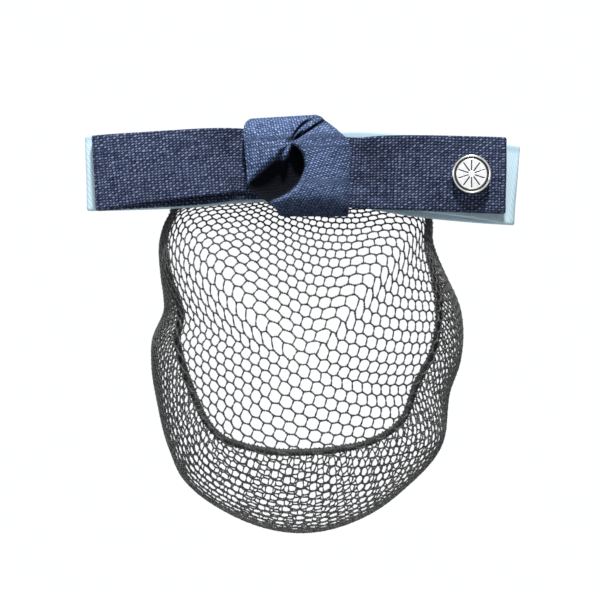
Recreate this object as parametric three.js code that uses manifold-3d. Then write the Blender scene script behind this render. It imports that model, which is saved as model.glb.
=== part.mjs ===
// A snood on a barrette clip: two flat ribbon bows with a twisted knot, a round stud, and a net bag.
// Millimetres, +Z up. The face of the bow looks along -Y, and the clip and the mouth of the net bag are
// on the +Y side.
// The origin is the middle of the gap in the clip, between its plate and its bar.
import * as THREE from "three";
import { mergeVertices } from "three/addons/utils/BufferGeometryUtils.js";
import Module from "manifold-3d";

const wasm = await Module();
wasm.setup();

// Clearance between pieces that are sewn, glued or laid on each other.
const seat = 0.3;

// The clip and the arch that it shares with everything sewn to it.
const archRadius = 300;
const bowArchRadius = 600;
const clipLength = 80;
const plateWidth = 8;
const clipDrop = 0.8;
const plateThickness = 1.2;
const barWidth = 5;
const barThickness = 1.4;
const gapDepth = 8;
const clipEndLength = 4;
const clipCornerRadius = 1.5;

// The two bows. Each is one ribbon folded into a flat loop whose cut ends meet behind the knot.
const ribbonWidth = 22.6;
const navyThickness = 1.2;
const blueThickness = 1.2;
const navyLeftReach = 63.2;
const navyRightReach = 61.4;
const blueLeftReach = 66;
const blueRightReach = 65.1;
const navyOpening = 3.4;
const blueOpening = 1.8;
const ribbonCup = 0.9;
const buttGap = 1;

// The knot: one ribbon wrapped round both bows and twisted once in front.
const wrapThickness = 1.1;
const knotLeftReach = 17.9;
const knotRightReach = 14.1;
const knotTop = 17.4;
const knotBottom = 13.1;
const boreTop = 13.6;
const boreBottom = 11.4;
const knotCover = 3.2;
const knotBulge = 4.2;
const knotTilt = 0.06;
const pinchX = -1.5;
const pinchZ = 7.2;

// The round stud on the right-hand loop.
const studInset = 11;
const studX = navyRightReach - studInset;
const studZ = -0.7;
const studRadius = 5.75;
const studRimWidth = 0.55;
const studHeight = 1.7;
const studFloor = 0.6;
const enamelThickness = 0.4;
const faceThickness = 0.5;
const faceRadius = 4.6;
const rayCount = 10;
const grooveWidth = 0.36;
const hubRadius = 1.15;
const neckRadius = 0.8;
const rivetRadius = 2.4;
const rivetThickness = 0.5;

// The net bag and the elastic edging round its mouth.
const netThickness = 1.2;
const bagHalfHeight = 50.3;
const bagFront = 42;
const bagMouthDepth = 26;
const edgingRadius = 1.2;
const cornerEase = 0.5;
const tuckTop = 9;
const tuckBottom = 30;
const cleftDepth = 6;
const cleftX = 2;
const cleftZ = -21;
const cleftWidth = 10;
const cleftHeight = 11;
const meshPitch = 15.2;
const meshStrand = 3.1;
const meshBorder = 4;
const borderEdge = 9;
const fabricRadius = 50;
const fabricTilt = 22;

// Places that follow from the sizes above, from the clip's gap forwards.
const plateBack = gapDepth / 2;
const plateFront = plateBack + plateThickness;
const wrapBack = plateFront + seat;
const boreBack = wrapBack + wrapThickness;
const blueBackMiddle = boreBack + seat + blueThickness / 2;
const bluePinch = blueThickness + seat;
const navyPinch = navyThickness + seat;
const layerStep = (blueThickness + navyThickness) / 2 + seat;
const boreFront = blueBackMiddle + bluePinch + layerStep + navyPinch + navyThickness / 2 + seat;
const edgingY = wrapBack - seat - edgingRadius;
const edgingZ = plateWidth / 2 + clipDrop + edgingRadius;
const bagTop = edgingZ + edgingRadius + seat;
const bagCentreZ = -bagTop - bagHalfHeight;

const degrees = Math.PI / 180;

// How far an arch carries a point at x back, towards +Y. The bows are flatter than the clip.
function sag(x, radius = archRadius) {
  return radius - Math.sqrt(radius * radius - x * x);
}

function smoothStep(value, low, high) {
  const share = Math.min(1, Math.max(0, (value - low) / (high - low)));
  return share * share * (3 - 2 * share);
}

// Reads one column of a table at a place along its key column, with a smooth curve through the rows.
function readTable(rows, key, column, at) {
  const last = rows.length - 1;
  let row = 0;
  while (row < last - 1 && at > rows[row + 1][key]) row += 1;
  const before = rows[Math.max(0, row - 1)];
  const start = rows[row];
  const end = rows[row + 1];
  const after = rows[Math.min(last, row + 2)];
  const span = end[key] - start[key];
  const share = Math.min(1, Math.max(0, (at - start[key]) / span));
  const slopeIn = ((end[column] - before[column]) / (end[key] - before[key])) * span;
  const slopeOut = ((after[column] - start[column]) / (after[key] - start[key])) * span;
  const squared = share * share;
  const cubed = squared * share;
  return (
    (2 * cubed - 3 * squared + 1) * start[column] +
    (cubed - 2 * squared + share) * slopeIn +
    (3 * squared - 2 * cubed) * end[column] +
    (cubed - squared) * slopeOut
  );
}

// A table whose key runs once round the circle, lengthened by a row or two at each end.
function readRound(rows, column, turn) {
  const wrapped = [
    ...rows.slice(-3).map((row) => ({ ...row, turn: row.turn - 360 })),
    ...rows,
    ...rows.slice(0, 3).map((row) => ({ ...row, turn: row.turn + 360 })),
  ];
  return readTable(wrapped, "turn", column, turn);
}

// A closed wall: a grid of points on its outer side and one on its inner side, joined along the open edges.
// place(along, across, outer) gives the point. A wall closed along its length has no ends.
function wall(alongCount, acrossCount, closed, place) {
  const rows = closed ? alongCount : alongCount + 1;
  const columns = acrossCount + 1;
  const positions = [];
  for (const outer of [true, false]) {
    for (let i = 0; i < rows; i += 1) {
      for (let j = 0; j < columns; j += 1) {
        const point = place(i / alongCount, j / acrossCount, outer);
        positions.push(...point.toArray());
      }
    }
  }
  const inside = rows * columns;
  const at = (i, j) => (i % rows) * columns + j;
  const index = [];
  const quad = (a, b, c, d) => index.push(a, b, c, a, c, d);
  for (let i = 0; i < alongCount; i += 1) {
    for (let j = 0; j < acrossCount; j += 1) {
      quad(at(i, j), at(i + 1, j), at(i + 1, j + 1), at(i, j + 1));
      quad(inside + at(i, j), inside + at(i, j + 1), inside + at(i + 1, j + 1), inside + at(i + 1, j));
    }
    const [near, nearNext] = [at(i, 0), at(i + 1, 0)];
    const [far, farNext] = [at(i, acrossCount), at(i + 1, acrossCount)];
    quad(near, inside + near, inside + nearNext, nearNext);
    quad(far, farNext, inside + farNext, inside + far);
  }
  if (!closed) {
    for (let j = 0; j < acrossCount; j += 1) {
      const [first, firstNext] = [at(0, j), at(0, j + 1)];
      const [last, lastNext] = [at(alongCount, j), at(alongCount, j + 1)];
      quad(first, firstNext, inside + firstNext, inside + first);
      quad(last, inside + last, inside + lastNext, lastNext);
    }
  }
  const geometry = new THREE.BufferGeometry();
  geometry.setAttribute("position", new THREE.Float32BufferAttribute(positions, 3));
  geometry.setIndex(index);
  return geometry;
}

function solidOf(geometry) {
  const bare = geometry.clone();
  bare.deleteAttribute("normal");
  bare.deleteAttribute("uv");
  const merged = mergeVertices(bare, 1e-4);
  return new wasm.Manifold(
    new wasm.Mesh({
      numProp: 3,
      vertProperties: merged.attributes.position.array,
      triVerts: new Uint32Array(merged.index.array),
    }),
  );
}

function geometryOf(solid) {
  const mesh = solid.getMesh();
  const geometry = new THREE.BufferGeometry();
  geometry.setAttribute("position", new THREE.BufferAttribute(mesh.vertProperties, 3));
  geometry.setIndex(new THREE.BufferAttribute(mesh.triVerts, 1));
  return geometry;
}

function finish(colour, roughness, metalness) {
  return new THREE.MeshStandardMaterial({ color: colour, roughness, metalness, side: THREE.DoubleSide });
}

const finishes = {
  navyRibbon: finish(0x2b3553, 0.9, 0),
  blueRibbon: finish(0xb4cfe0, 0.9, 0),
  net: finish(0x1b1b1c, 0.7, 0),
  chrome: finish(0xc9c7bf, 0.22, 1),
  enamel: finish(0x111215, 0.2, 0),
  steel: finish(0x8d8f94, 0.35, 1),
};

function piece(name, geometry, material) {
  const mesh = new THREE.Mesh(geometry, material);
  mesh.name = name;
  return mesh;
}

// The clip: an arched plate in front, a straight bar behind, and a block at each end that joins them.
function clipPiece() {
  const half = clipLength / 2;
  const steps = 24;
  const arc = (depth, from, to) =>
    Array.from({ length: steps + 1 }, (_, i) => {
      const x = from + ((to - from) * i) / steps;
      return new THREE.Vector2(x, -depth + sag(x));
    });
  const backFace = gapDepth / 2 + barThickness;
  const cornerX = half - clipCornerRadius;
  const cornerY = backFace - clipCornerRadius;
  const outline = new THREE.Shape(arc(plateFront, -half, half));
  outline.lineTo(half, cornerY);
  outline.absarc(cornerX, cornerY, clipCornerRadius, 0, Math.PI / 2, false);
  outline.lineTo(-cornerX, backFace);
  outline.absarc(-cornerX, cornerY, clipCornerRadius, Math.PI / 2, Math.PI, false);
  const inner = half - clipEndLength;
  const gap = new THREE.Path(arc(plateBack, -inner, inner));
  gap.lineTo(inner, gapDepth / 2);
  gap.lineTo(-inner, gapDepth / 2);
  outline.holes.push(gap);
  const sweep = { depth: plateWidth, bevelEnabled: false, curveSegments: 5 };
  const ring = new THREE.ExtrudeGeometry(outline, sweep);
  ring.translate(0, 0, -plateWidth / 2);
  const cutHeight = (plateWidth - barWidth) / 2;
  let solid = solidOf(ring);
  for (const side of [-1, 1]) {
    const cut = new THREE.BoxGeometry(2 * inner, 2 * barThickness, cutHeight + 1);
    cut.translate(0, backFace, side * (barWidth / 2 + (cutHeight + 1) / 2));
    solid = solid.subtract(solidOf(cut));
  }
  return piece("barrette_clip", geometryOf(solid), finishes.steel);
}

// How each bow lies, by the share of its reach to the left (-) and right (+) of the knot's middle.
// rise is its middle line's height above the clip's, and lift is what its front layer has above that, in mm.
// width and narrow are shares of the ribbon's width: all that shows, and what the front layer lacks of it.
const navyTable = [
  { share: -1.0, rise: -0.1, lift: 0, width: 1.01, narrow: 0 },
  { share: -0.78, rise: 0.6, lift: 0.7, width: 1, narrow: 0.05 },
  { share: -0.55, rise: 1.3, lift: 1.2, width: 0.99, narrow: 0.08 },
  { share: -0.42, rise: 1.9, lift: 1.4, width: 0.96, narrow: 0.08 },
  { share: -0.31, rise: 2.4, lift: 1.4, width: 0.93, narrow: 0.08 },
  { share: 0.0, rise: 1.5, lift: 0.3, width: 0.86, narrow: 0 },
  { share: 0.26, rise: 0, lift: 0, width: 0.94, narrow: 0 },
  { share: 0.4, rise: -0.1, lift: 0, width: 0.97, narrow: 0 },
  { share: 0.58, rise: -0.3, lift: 0, width: 0.99, narrow: 0 },
  { share: 0.82, rise: -0.6, lift: 0, width: 1.01, narrow: 0 },
  { share: 1.0, rise: -0.8, lift: 0, width: 1.02, narrow: 0 },
];
const blueTable = [
  { share: -1.0, rise: 0, lift: 0, width: 1 },
  { share: -0.78, rise: 0.5, lift: 0, width: 1.02 },
  { share: -0.55, rise: 1.2, lift: 0, width: 1.03 },
  { share: -0.42, rise: 1.7, lift: 0, width: 1.02 },
  { share: -0.31, rise: 2.0, lift: 0, width: 0.98 },
  { share: 0.0, rise: 1.8, lift: 0, width: 0.92 },
  { share: 0.26, rise: 1.3, lift: 0, width: 1 },
  { share: 0.4, rise: -0.1, lift: 0.7, width: 1.01 },
  { share: 0.58, rise: -2, lift: 1.6, width: 1.01 },
  { share: 0.82, rise: -3.3, lift: 1.2, width: 1.03 },
  { share: 1.0, rise: -3.7, lift: 0, width: 1.06 },
];

// How far each loop stands open and how much the ribbons cup across their width, by the same share.
const loopTable = [
  { share: -1.0, opening: 0.7, cup: 0.6 },
  { share: -0.78, opening: 0.95, cup: 0.9 },
  { share: -0.55, opening: 1.0, cup: 1.0 },
  { share: -0.42, opening: 0.6, cup: 0.6 },
  { share: -0.31, opening: 0.0, cup: 0.0 },
  { share: 0.26, opening: 0.0, cup: 0.0 },
  { share: 0.4, opening: 0.6, cup: 0.6 },
  { share: 0.58, opening: 1.0, cup: 1.0 },
  { share: 0.82, opening: 0.95, cup: 0.8 },
  { share: 1.0, opening: 0.75, cup: 0.6 },
];

function bowAt(table, x, leftReach, rightReach, column) {
  const share = x < 0 ? x / leftReach : x / rightReach;
  return readTable(column in loopTable[0] ? loopTable : table, "share", column, share);
}

const blueAt = (x, column) => bowAt(blueTable, x, blueLeftReach, blueRightReach, column);
const navyAt = (x, column) => bowAt(navyTable, x, navyLeftReach, navyRightReach, column);
const blueBack = (x) => blueBackMiddle - sag(x, bowArchRadius);
const blueFront = (x) => blueBack(x) + bluePinch + blueOpening * Math.max(0, blueAt(x, "opening"));
const navyBack = (x) => blueFront(x) + layerStep;
const navyFront = (x) => navyBack(x) + navyPinch + navyOpening * Math.max(0, navyAt(x, "opening"));
const cupAt = (x) => ribbonCup * Math.max(0, blueAt(x, "cup"));

// The route of a folded ribbon seen from above: from behind the knot to the left, round the fold,
// along the front, round the other fold and back. Depths are measured forwards from the origin.
function foldedRoute(leftReach, rightReach, thickness, back, front) {
  const route = [];
  const runSteps = 12;
  const foldSteps = 6;
  const leftFold = (front(-leftReach) - back(-leftReach)) / 2;
  const rightFold = (front(rightReach) - back(rightReach)) / 2;
  const leftX = -leftReach + leftFold + thickness / 2;
  const rightX = rightReach - rightFold - thickness / 2;
  const run = (from, to, depth, steps, first) => {
    for (let i = first; i < steps; i += 1) {
      const x = from + ((to - from) * i) / steps;
      route.push({ x, depth: depth(x), layer: depth === front ? 1 : 0 });
    }
  };
  const fold = (x, radius, side) => {
    const from = side < 0 ? back(x) : front(x);
    const to = side < 0 ? front(x) : back(x);
    for (let i = 0; i <= foldSteps; i += 1) {
      const angle = (Math.PI * i) / foldSteps;
      const depth = (from + to) / 2 + ((from - to) / 2) * Math.cos(angle);
      const layer = (1 - side * -Math.cos(angle)) / 2;
      route.push({ x: x + side * radius * Math.sin(angle), depth, layer });
    }
  };
  run(-buttGap / 2, leftX, back, runSteps, 0);
  fold(leftX, leftFold, -1);
  run(leftX, rightX, front, 2 * runSteps, 1);
  fold(rightX, rightFold, 1);
  run(rightX, buttGap / 2, back, runSteps, 1);
  route.push({ x: buttGap / 2, depth: back(buttGap / 2), layer: 0 });
  return route;
}

function bowGeometry(route, thickness, riseAt, halfAt) {
  const last = route.length - 1;
  const place = (along, across, outer) => {
    const i = Math.round(along * last);
    const before = route[Math.max(0, i - 1)];
    const after = route[Math.min(last, i + 1)];
    const here = route[i];
    const run = new THREE.Vector2(after.x - before.x, after.depth - before.depth).normalize();
    const off = (outer ? 1 : -1) * (thickness / 2);
    const step = 1;
    const rise = riseAt(here.x, here.layer);
    const lean = (riseAt(here.x + step, here.layer) - riseAt(here.x - step, here.layer)) / (2 * step);
    const v = 2 * across - 1;
    const up = v * halfAt(here.x, here.layer);
    const cup = cupAt(here.x) * (1 - v * v);
    const depth = here.depth + run.x * off + cup;
    return new THREE.Vector3(here.x - run.y * off - lean * up, -depth, rise + up);
  };
  return wall(last, 3, false, place);
}

function bluePiece() {
  const route = foldedRoute(blueLeftReach, blueRightReach, blueThickness, blueBack, blueFront);
  const rise = (x, layer) => blueAt(x, "rise") + layer * blueAt(x, "lift");
  const half = (x) => (ribbonWidth / 2) * blueAt(x, "width");
  return piece("light_blue_bow", bowGeometry(route, blueThickness, rise, half), finishes.blueRibbon);
}

function navyPiece() {
  const route = foldedRoute(navyLeftReach, navyRightReach, navyThickness, navyBack, navyFront);
  const rise = (x, layer) => navyAt(x, "rise") + layer * navyAt(x, "lift");
  const half = (x, layer) => (ribbonWidth / 2) * (navyAt(x, "width") - layer * navyAt(x, "narrow"));
  const geometry = bowGeometry(route, navyThickness, rise, half);
  const hole = new THREE.CylinderGeometry(neckRadius + seat, neckRadius + seat, 2 * navyThickness + 2, 12);
  hole.translate(studX, -navyFront(studX) - cupAt(studX), studZ);
  const pierced = solidOf(geometry).subtract(solidOf(hole));
  return piece("navy_bow", geometryOf(pierced), finishes.navyRibbon);
}

// The knot's outside, once round the bows: up the front, over the top, down the back and under.
// up and down are shares of the knot's top and bottom, left and right shares of its reaches.
// forward is the share of the way from the wrap behind the bows to the knot's cover in front of them.
const knotTable = [
  { round: 0, up: -0.95, forward: 0.8, left: 0.38, right: 0.97, puff: 0.3 },
  { round: 1, up: -0.66, forward: 0.97, left: 0.62, right: 0.99, puff: 0.8 },
  { round: 2, up: -0.38, forward: 1.0, left: 0.9, right: 1.0, puff: 1.0 },
  { round: 3, up: 0.1, forward: 1.0, left: 0.95, right: 1.0, puff: 1.0 },
  { round: 4, up: 0.46, forward: 1.0, left: 0.98, right: 1.0, puff: 1.0 },
  { round: 5, up: 0.7, forward: 0.96, left: 1.0, right: 0.74, puff: 0.85 },
  { round: 6, up: 0.91, forward: 0.8, left: 0.97, right: 0.42, puff: 0.35 },
  { round: 7, up: 1.0, forward: 0.44, left: 0.84, right: 0.28, puff: 0 },
  { round: 8, up: 0.87, forward: 0.08, left: 0.7, right: 0.5, puff: 0 },
  { round: 9, up: 0.2, forward: 0, left: 0.6, right: 0.75, puff: 0 },
  { round: 10, up: -0.84, forward: 0.06, left: 0.44, right: 0.88, puff: 0 },
  { round: 11, up: -1.0, forward: 0.44, left: 0.34, right: 0.94, puff: 0 },
];

function readKnot(column, round) {
  const count = knotTable.length;
  const wrapped = [
    ...knotTable.slice(-2).map((row) => ({ ...row, round: row.round - count })),
    ...knotTable,
    ...knotTable.slice(0, 3).map((row) => ({ ...row, round: row.round + count })),
  ];
  return readTable(wrapped, "round", column, round);
}

// The lobes and folds that fan out from the pinch, by the angle round it from the picture's right.
// height is a share of the knot's bulge: 1 on a lobe and lower in a fold. The last row repeats the first.
const lobeTable = [
  { angle: -96, height: -0.35 },
  { angle: -84, height: 0.72 },
  { angle: -62, height: 0.98 },
  { angle: -10, height: 1.0 },
  { angle: 28, height: 0.92 },
  { angle: 41, height: 0.72 },
  { angle: 47, height: 0.12 },
  { angle: 54, height: 0.62 },
  { angle: 62, height: 0.12 },
  { angle: 70, height: 0.8 },
  { angle: 95, height: 1.0 },
  { angle: 150, height: 0.96 },
  { angle: 196, height: 0.98 },
  { angle: 208, height: 0.86 },
  { angle: 235, height: 0.3 },
  { angle: 264, height: -0.35 },
];
const lobeBend = -3.2;

// The folds turn with their distance from the pinch below it, and not above it.
function lobeHeight(x, z) {
  const radius = Math.hypot(x - pinchX, z - pinchZ);
  const raw = Math.atan2(z - pinchZ, x - pinchX) / degrees;
  const below = smoothStep(-Math.sin(raw * degrees), -0.1, 0.7);
  const turned = raw - lobeBend * (Math.min(radius, 18) - 8.5) * below;
  const first = lobeTable[0].angle;
  const angle = first + ((((turned - first) % 360) + 360) % 360);
  const height = readTable(lobeTable, "angle", "height", angle);
  return 0.35 + (height - 0.35) * smoothStep(radius, 0.4, 5.5);
}

// The front of the knot has most of the rows, because the folds are there.
const frontRows = 26;
const backRows = 12;
const knotRounds = [
  ...Array.from({ length: frontRows }, (_, i) => -0.5 + (7 * i) / frontRows),
  ...Array.from({ length: backRows }, (_, i) => 6.5 + (5 * i) / backRows),
];

function knotPiece() {
  const columns = 20;
  const coverFront = boreFront + knotCover;
  const positions = [];
  const index = [];
  for (const round of knotRounds) {
    const up = readKnot("up", round);
    const level = up > 0 ? up * knotTop : up * knotBottom;
    const left = -knotLeftReach * readKnot("left", round);
    const right = knotRightReach * readKnot("right", round);
    const base = wrapBack + (coverFront - wrapBack) * readKnot("forward", round);
    for (let j = 0; j <= columns; j += 1) {
      const v = (2 * j) / columns - 1;
      const x = left + ((right - left) * (v + 1)) / 2;
      const z = level + knotTilt * x * Math.max(0, up);
      const puff = Math.max(0, readKnot("puff", round)) * (1 - v ** 6);
      positions.push(x, -base - knotBulge * puff * lobeHeight(x, z), z);
    }
  }
  const rows = knotRounds.length;
  const at = (i, j) => (i % rows) * (columns + 1) + j;
  for (let i = 0; i < rows; i += 1) {
    for (let j = 0; j < columns; j += 1) {
      index.push(at(i, j), at(i, j + 1), at(i + 1, j + 1), at(i, j), at(i + 1, j + 1), at(i + 1, j));
    }
  }
  for (const j of [0, columns]) {
    const middle = positions.length / 3;
    let sum = [0, 0, 0];
    for (let i = 0; i < rows; i += 1) {
      sum = sum.map((value, axis) => value + positions[3 * at(i, j) + axis] / rows);
    }
    positions.push(...sum);
    for (let i = 0; i < rows; i += 1) {
      if (j === 0) index.push(at(i, j), at(i + 1, j), middle);
      else index.push(at(i + 1, j), at(i, j), middle);
    }
  }
  const geometry = new THREE.BufferGeometry();
  geometry.setAttribute("position", new THREE.Float32BufferAttribute(positions, 3));
  geometry.setIndex(index);
  const bore = new THREE.BoxGeometry(3 * knotLeftReach, boreFront - boreBack, boreTop + boreBottom);
  bore.translate(0, -(boreFront + boreBack) / 2, (boreTop - boreBottom) / 2);
  return piece("knot", geometryOf(solidOf(geometry).subtract(solidOf(bore))), finishes.navyRibbon);
}

// The stud's metal body: a dish with a raised rim, and a neck through the ribbon to a flat rivet head.
function studDepths() {
  const middle = (x) => navyFront(x) + cupAt(x);
  const middles = (reach) => [-1, -0.5, 0, 0.5, 1].map((share) => middle(studX + share * reach));
  const back = Math.max(...middles(studRadius)) + navyThickness / 2 + seat;
  const rivetFront = Math.min(...middles(rivetRadius)) - navyThickness / 2 - 1.5 * seat;
  return { rivetFront, back, floor: back + studFloor, front: back + studHeight };
}

function turnedPiece(name, profile, segments, material) {
  const points = profile.map(([radius, depth]) => new THREE.Vector2(radius, depth));
  const geometry = new THREE.LatheGeometry(points, segments);
  geometry.translate(studX, 0, studZ);
  return piece(name, geometryOf(solidOf(geometry)), material);
}

function studBodyPiece() {
  const { rivetFront, back, floor, front } = studDepths();
  const dish = studRadius - studRimWidth;
  const edge = 0.25;
  return turnedPiece(
    "stud_body",
    [
      [0, -floor],
      [dish, -floor],
      [dish, -front],
      [studRadius - edge, -front],
      [studRadius, -front + edge],
      [studRadius, -back],
      [neckRadius, -back],
      [neckRadius, -rivetFront],
      [rivetRadius, -rivetFront],
      [rivetRadius, -rivetFront + rivetThickness],
      [0, -rivetFront + rivetThickness],
    ],
    32,
    finishes.chrome,
  );
}

// A thin black enamel disc lies on the dish's floor, and the pierced silver face lies on it.
function enamelPiece() {
  const { floor } = studDepths();
  const radius = studRadius - studRimWidth - seat / 3;
  const back = floor + 0.05;
  const geometry = new THREE.CylinderGeometry(radius, radius, enamelThickness, 32);
  geometry.translate(studX, -back - enamelThickness / 2, studZ);
  return piece("stud_enamel", geometry, finishes.enamel);
}

// The face is a plain disc cut through with straight rays, which stop short of the hub and of the edge.
function studFacePiece() {
  const { floor } = studDepths();
  const face = new THREE.Shape();
  face.absarc(0, 0, faceRadius, 0, 2 * Math.PI, false);
  const outerEnd = faceRadius - 0.55;
  for (let ray = 0; ray < rayCount; ray += 1) {
    const angle = (2 * Math.PI * (ray + 0.5)) / rayCount;
    const along = new THREE.Vector2(Math.cos(angle), Math.sin(angle));
    const aside = new THREE.Vector2(-along.y, along.x).multiplyScalar(grooveWidth / 2);
    const corner = (reach, side) => along.clone().multiplyScalar(reach).addScaledVector(aside, side);
    const inner = [corner(hubRadius, -1), corner(hubRadius, 1)];
    const outer = [corner(outerEnd, -1), corner(outerEnd, 1)];
    face.holes.push(new THREE.Path([inner[0], outer[0], outer[1], inner[1]]));
  }
  const sweep = { depth: faceThickness, bevelEnabled: false, curveSegments: 32 };
  const geometry = new THREE.ExtrudeGeometry(face, sweep);
  geometry.rotateX(Math.PI / 2);
  geometry.translate(studX, -(floor + 0.1 + enamelThickness), studZ);
  return piece("stud_face", geometry, finishes.chrome);
}

// The bag seen from the front, by the angle round its middle from the picture's right-hand side.
// reach is the outline's distance from the middle, as a share of the bag's half height.
// waist is how far the outline lies behind the edging's line at the top, in shares of the mouth's depth.
// wrap is how far the net runs on round to the mouth: 90 degrees is the outline itself.
const bagTable = [
  { turn: -180, reach: 0.924, waist: 0.36, wrap: 122 },
  { turn: -164, reach: 0.922, waist: 0.36, wrap: 126 },
  { turn: -147, reach: 0.97, waist: 0.34, wrap: 130 },
  { turn: -136, reach: 1.015, waist: 0.32, wrap: 134 },
  { turn: -117, reach: 1.02, waist: 0.28, wrap: 140 },
  { turn: -90, reach: 1.032, waist: 0.26, wrap: 144 },
  { turn: -67, reach: 1.006, waist: 0.28, wrap: 141 },
  { turn: -50, reach: 0.984, waist: 0.32, wrap: 135 },
  { turn: -31, reach: 0.985, waist: 0.34, wrap: 130 },
  { turn: -17, reach: 0.924, waist: 0.36, wrap: 126 },
  { turn: -10, reach: 0.916, waist: 0.36, wrap: 124 },
  { turn: 1, reach: 0.962, waist: 0.36, wrap: 121 },
  { turn: 18, reach: 1.014, waist: 0.34, wrap: 115 },
  { turn: 33, reach: 1.026, waist: 0.28, wrap: 105 },
  { turn: 43, reach: 1.08, waist: 0.22, wrap: 97 },
  { turn: 50, reach: 1.2, waist: 0.16, wrap: 91 },
  { turn: 56, reach: 1.2, waist: 0.11, wrap: 90 },
  { turn: 70, reach: 1.064, waist: 0.05, wrap: 90 },
  { turn: 90, reach: 1.0, waist: 0.0, wrap: 90 },
  { turn: 110, reach: 1.064, waist: 0.05, wrap: 90 },
  { turn: 125, reach: 1.19, waist: 0.11, wrap: 90 },
  { turn: 131, reach: 1.215, waist: 0.16, wrap: 91 },
  { turn: 139, reach: 1.15, waist: 0.22, wrap: 96 },
  { turn: 147, reach: 1.035, waist: 0.28, wrap: 103 },
  { turn: 154, reach: 0.945, waist: 0.32, wrap: 109 },
  { turn: 160, reach: 0.905, waist: 0.34, wrap: 113 },
  { turn: 171, reach: 0.93, waist: 0.36, wrap: 118 },
];

// The bag's surface: turn is the angle round the middle, open the angle from its foremost point.
function bagPoint(turn, open) {
  const reach = bagHalfHeight * readRound(bagTable, "reach", turn);
  const waist = -edgingY + bagMouthDepth * readRound(bagTable, "waist", turn);
  const x = reach * Math.sin(open) * Math.cos(turn * degrees);
  const z = bagCentreZ + reach * Math.sin(open) * Math.sin(turn * degrees);
  const ahead = Math.cos(open) > 0 ? waist + bagFront : bagMouthDepth;
  let y = waist - ahead * Math.cos(open);
  const cleft = Math.exp(-(((x - cleftX) / cleftWidth) ** 2) - ((z - cleftZ) / cleftHeight) ** 2);
  y += cleftDepth * cleft * Math.max(0, Math.cos(open));
  const behindBow = -edgingY + sag(Math.min(Math.abs(x), clipLength / 2));
  y += (behindBow - y) * smoothStep(z, -tuckBottom, -tuckTop);
  return new THREE.Vector3(x, y, z);
}

// The net is cut flat and draped: a flat point goes to the direction at its own distance from the middle.
function drape(across, up) {
  const angle = Math.hypot(across, up) / fabricRadius;
  const heading = Math.atan2(up, across);
  const direction = new THREE.Vector3(
    Math.sin(angle) * Math.cos(heading),
    -Math.cos(angle),
    Math.sin(angle) * Math.sin(heading),
  );
  direction.applyAxisAngle(new THREE.Vector3(1, 0, 0), fabricTilt * degrees);
  const turn = Math.atan2(direction.z, direction.x) / degrees;
  const open = Math.acos(Math.min(1, Math.max(-1, -direction.y)));
  return bagPoint(turn, open);
}

function flatPoint(turn, open) {
  const direction = new THREE.Vector3(
    Math.sin(open) * Math.cos(turn * degrees),
    -Math.cos(open),
    Math.sin(open) * Math.sin(turn * degrees),
  );
  direction.applyAxisAngle(new THREE.Vector3(1, 0, 0), -fabricTilt * degrees);
  const angle = Math.acos(Math.min(1, Math.max(-1, -direction.y)));
  const heading = Math.atan2(direction.z, direction.x);
  return new THREE.Vector2(Math.cos(heading), Math.sin(heading)).multiplyScalar(angle * fabricRadius);
}

// The rim has closer points round the bag's two top corners.
const rimCorners = [
  { from: 35, to: 62 },
  { from: 115, to: 150 },
];
const rimSteps = 144;
const atCorner = (turn) => rimCorners.some(({ from, to }) => turn > from && turn < to);
const rimTurns = Array.from({ length: rimSteps }, (_, i) => -180 + (360 * i) / rimSteps)
  .filter((turn, i) => i % 2 === 0 || atCorner(turn));
const rimOpen = (turn) => readRound(bagTable, "wrap", turn) * degrees;

function insideBy(outline, point, margin) {
  let inside = false;
  let nearest = Infinity;
  outline.forEach((start, i) => {
    const end = outline[(i + 1) % outline.length];
    const crosses = start.y > point.y !== end.y > point.y;
    const crossing = ((end.x - start.x) * (point.y - start.y)) / (end.y - start.y) + start.x;
    if (crosses && point.x < crossing) inside = !inside;
    const edge = end.clone().sub(start);
    const share = Math.min(1, Math.max(0, point.clone().sub(start).dot(edge) / edge.lengthSq()));
    nearest = Math.min(nearest, start.clone().addScaledVector(edge, share).distanceTo(point));
  });
  return inside && nearest > margin;
}

// Swaps the long diagonal of two flat triangles for the short one, until none is left, so that slivers go.
function shortenEdges(points, triangles) {
  const turn = (a, b, c) => {
    const [p, q, r] = [points[a], points[b], points[c]];
    return (q.x - p.x) * (r.y - p.y) - (q.y - p.y) * (r.x - p.x);
  };
  const flat = (corners) => corners.every((corner) => points[corner].z === points[corners[0]].z);
  for (let changed = true, round = 0; changed && round < 60; round += 1) {
    changed = false;
    const owners = new Map();
    triangles.forEach((triangle, i) => {
      triangle.forEach((a, k) => owners.set(`${a} ${triangle[(k + 1) % 3]}`, i));
    });
    const touched = new Set();
    triangles.forEach((triangle, i) => {
      for (let k = 0; k < 3 && !touched.has(i); k += 1) {
        const [a, b, c] = [triangle[k], triangle[(k + 1) % 3], triangle[(k + 2) % 3]];
        const other = owners.get(`${b} ${a}`);
        if (touched.has(other)) continue;
        const d = triangles[other].find((corner) => corner !== a && corner !== b);
        const saved = points[a].distanceTo(points[b]) - points[c].distanceTo(points[d]);
        if (!flat([a, b, c, d]) || saved < 0.01) continue;
        if (turn(c, a, d) * turn(d, b, c) < 0.01) continue;
        if (Math.sign(turn(c, a, d)) !== Math.sign(turn(a, b, c))) continue;
        triangles[i] = [c, a, d];
        triangles[other] = [d, b, c];
        touched.add(i).add(other);
        changed = true;
      }
    });
  }
}

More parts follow.
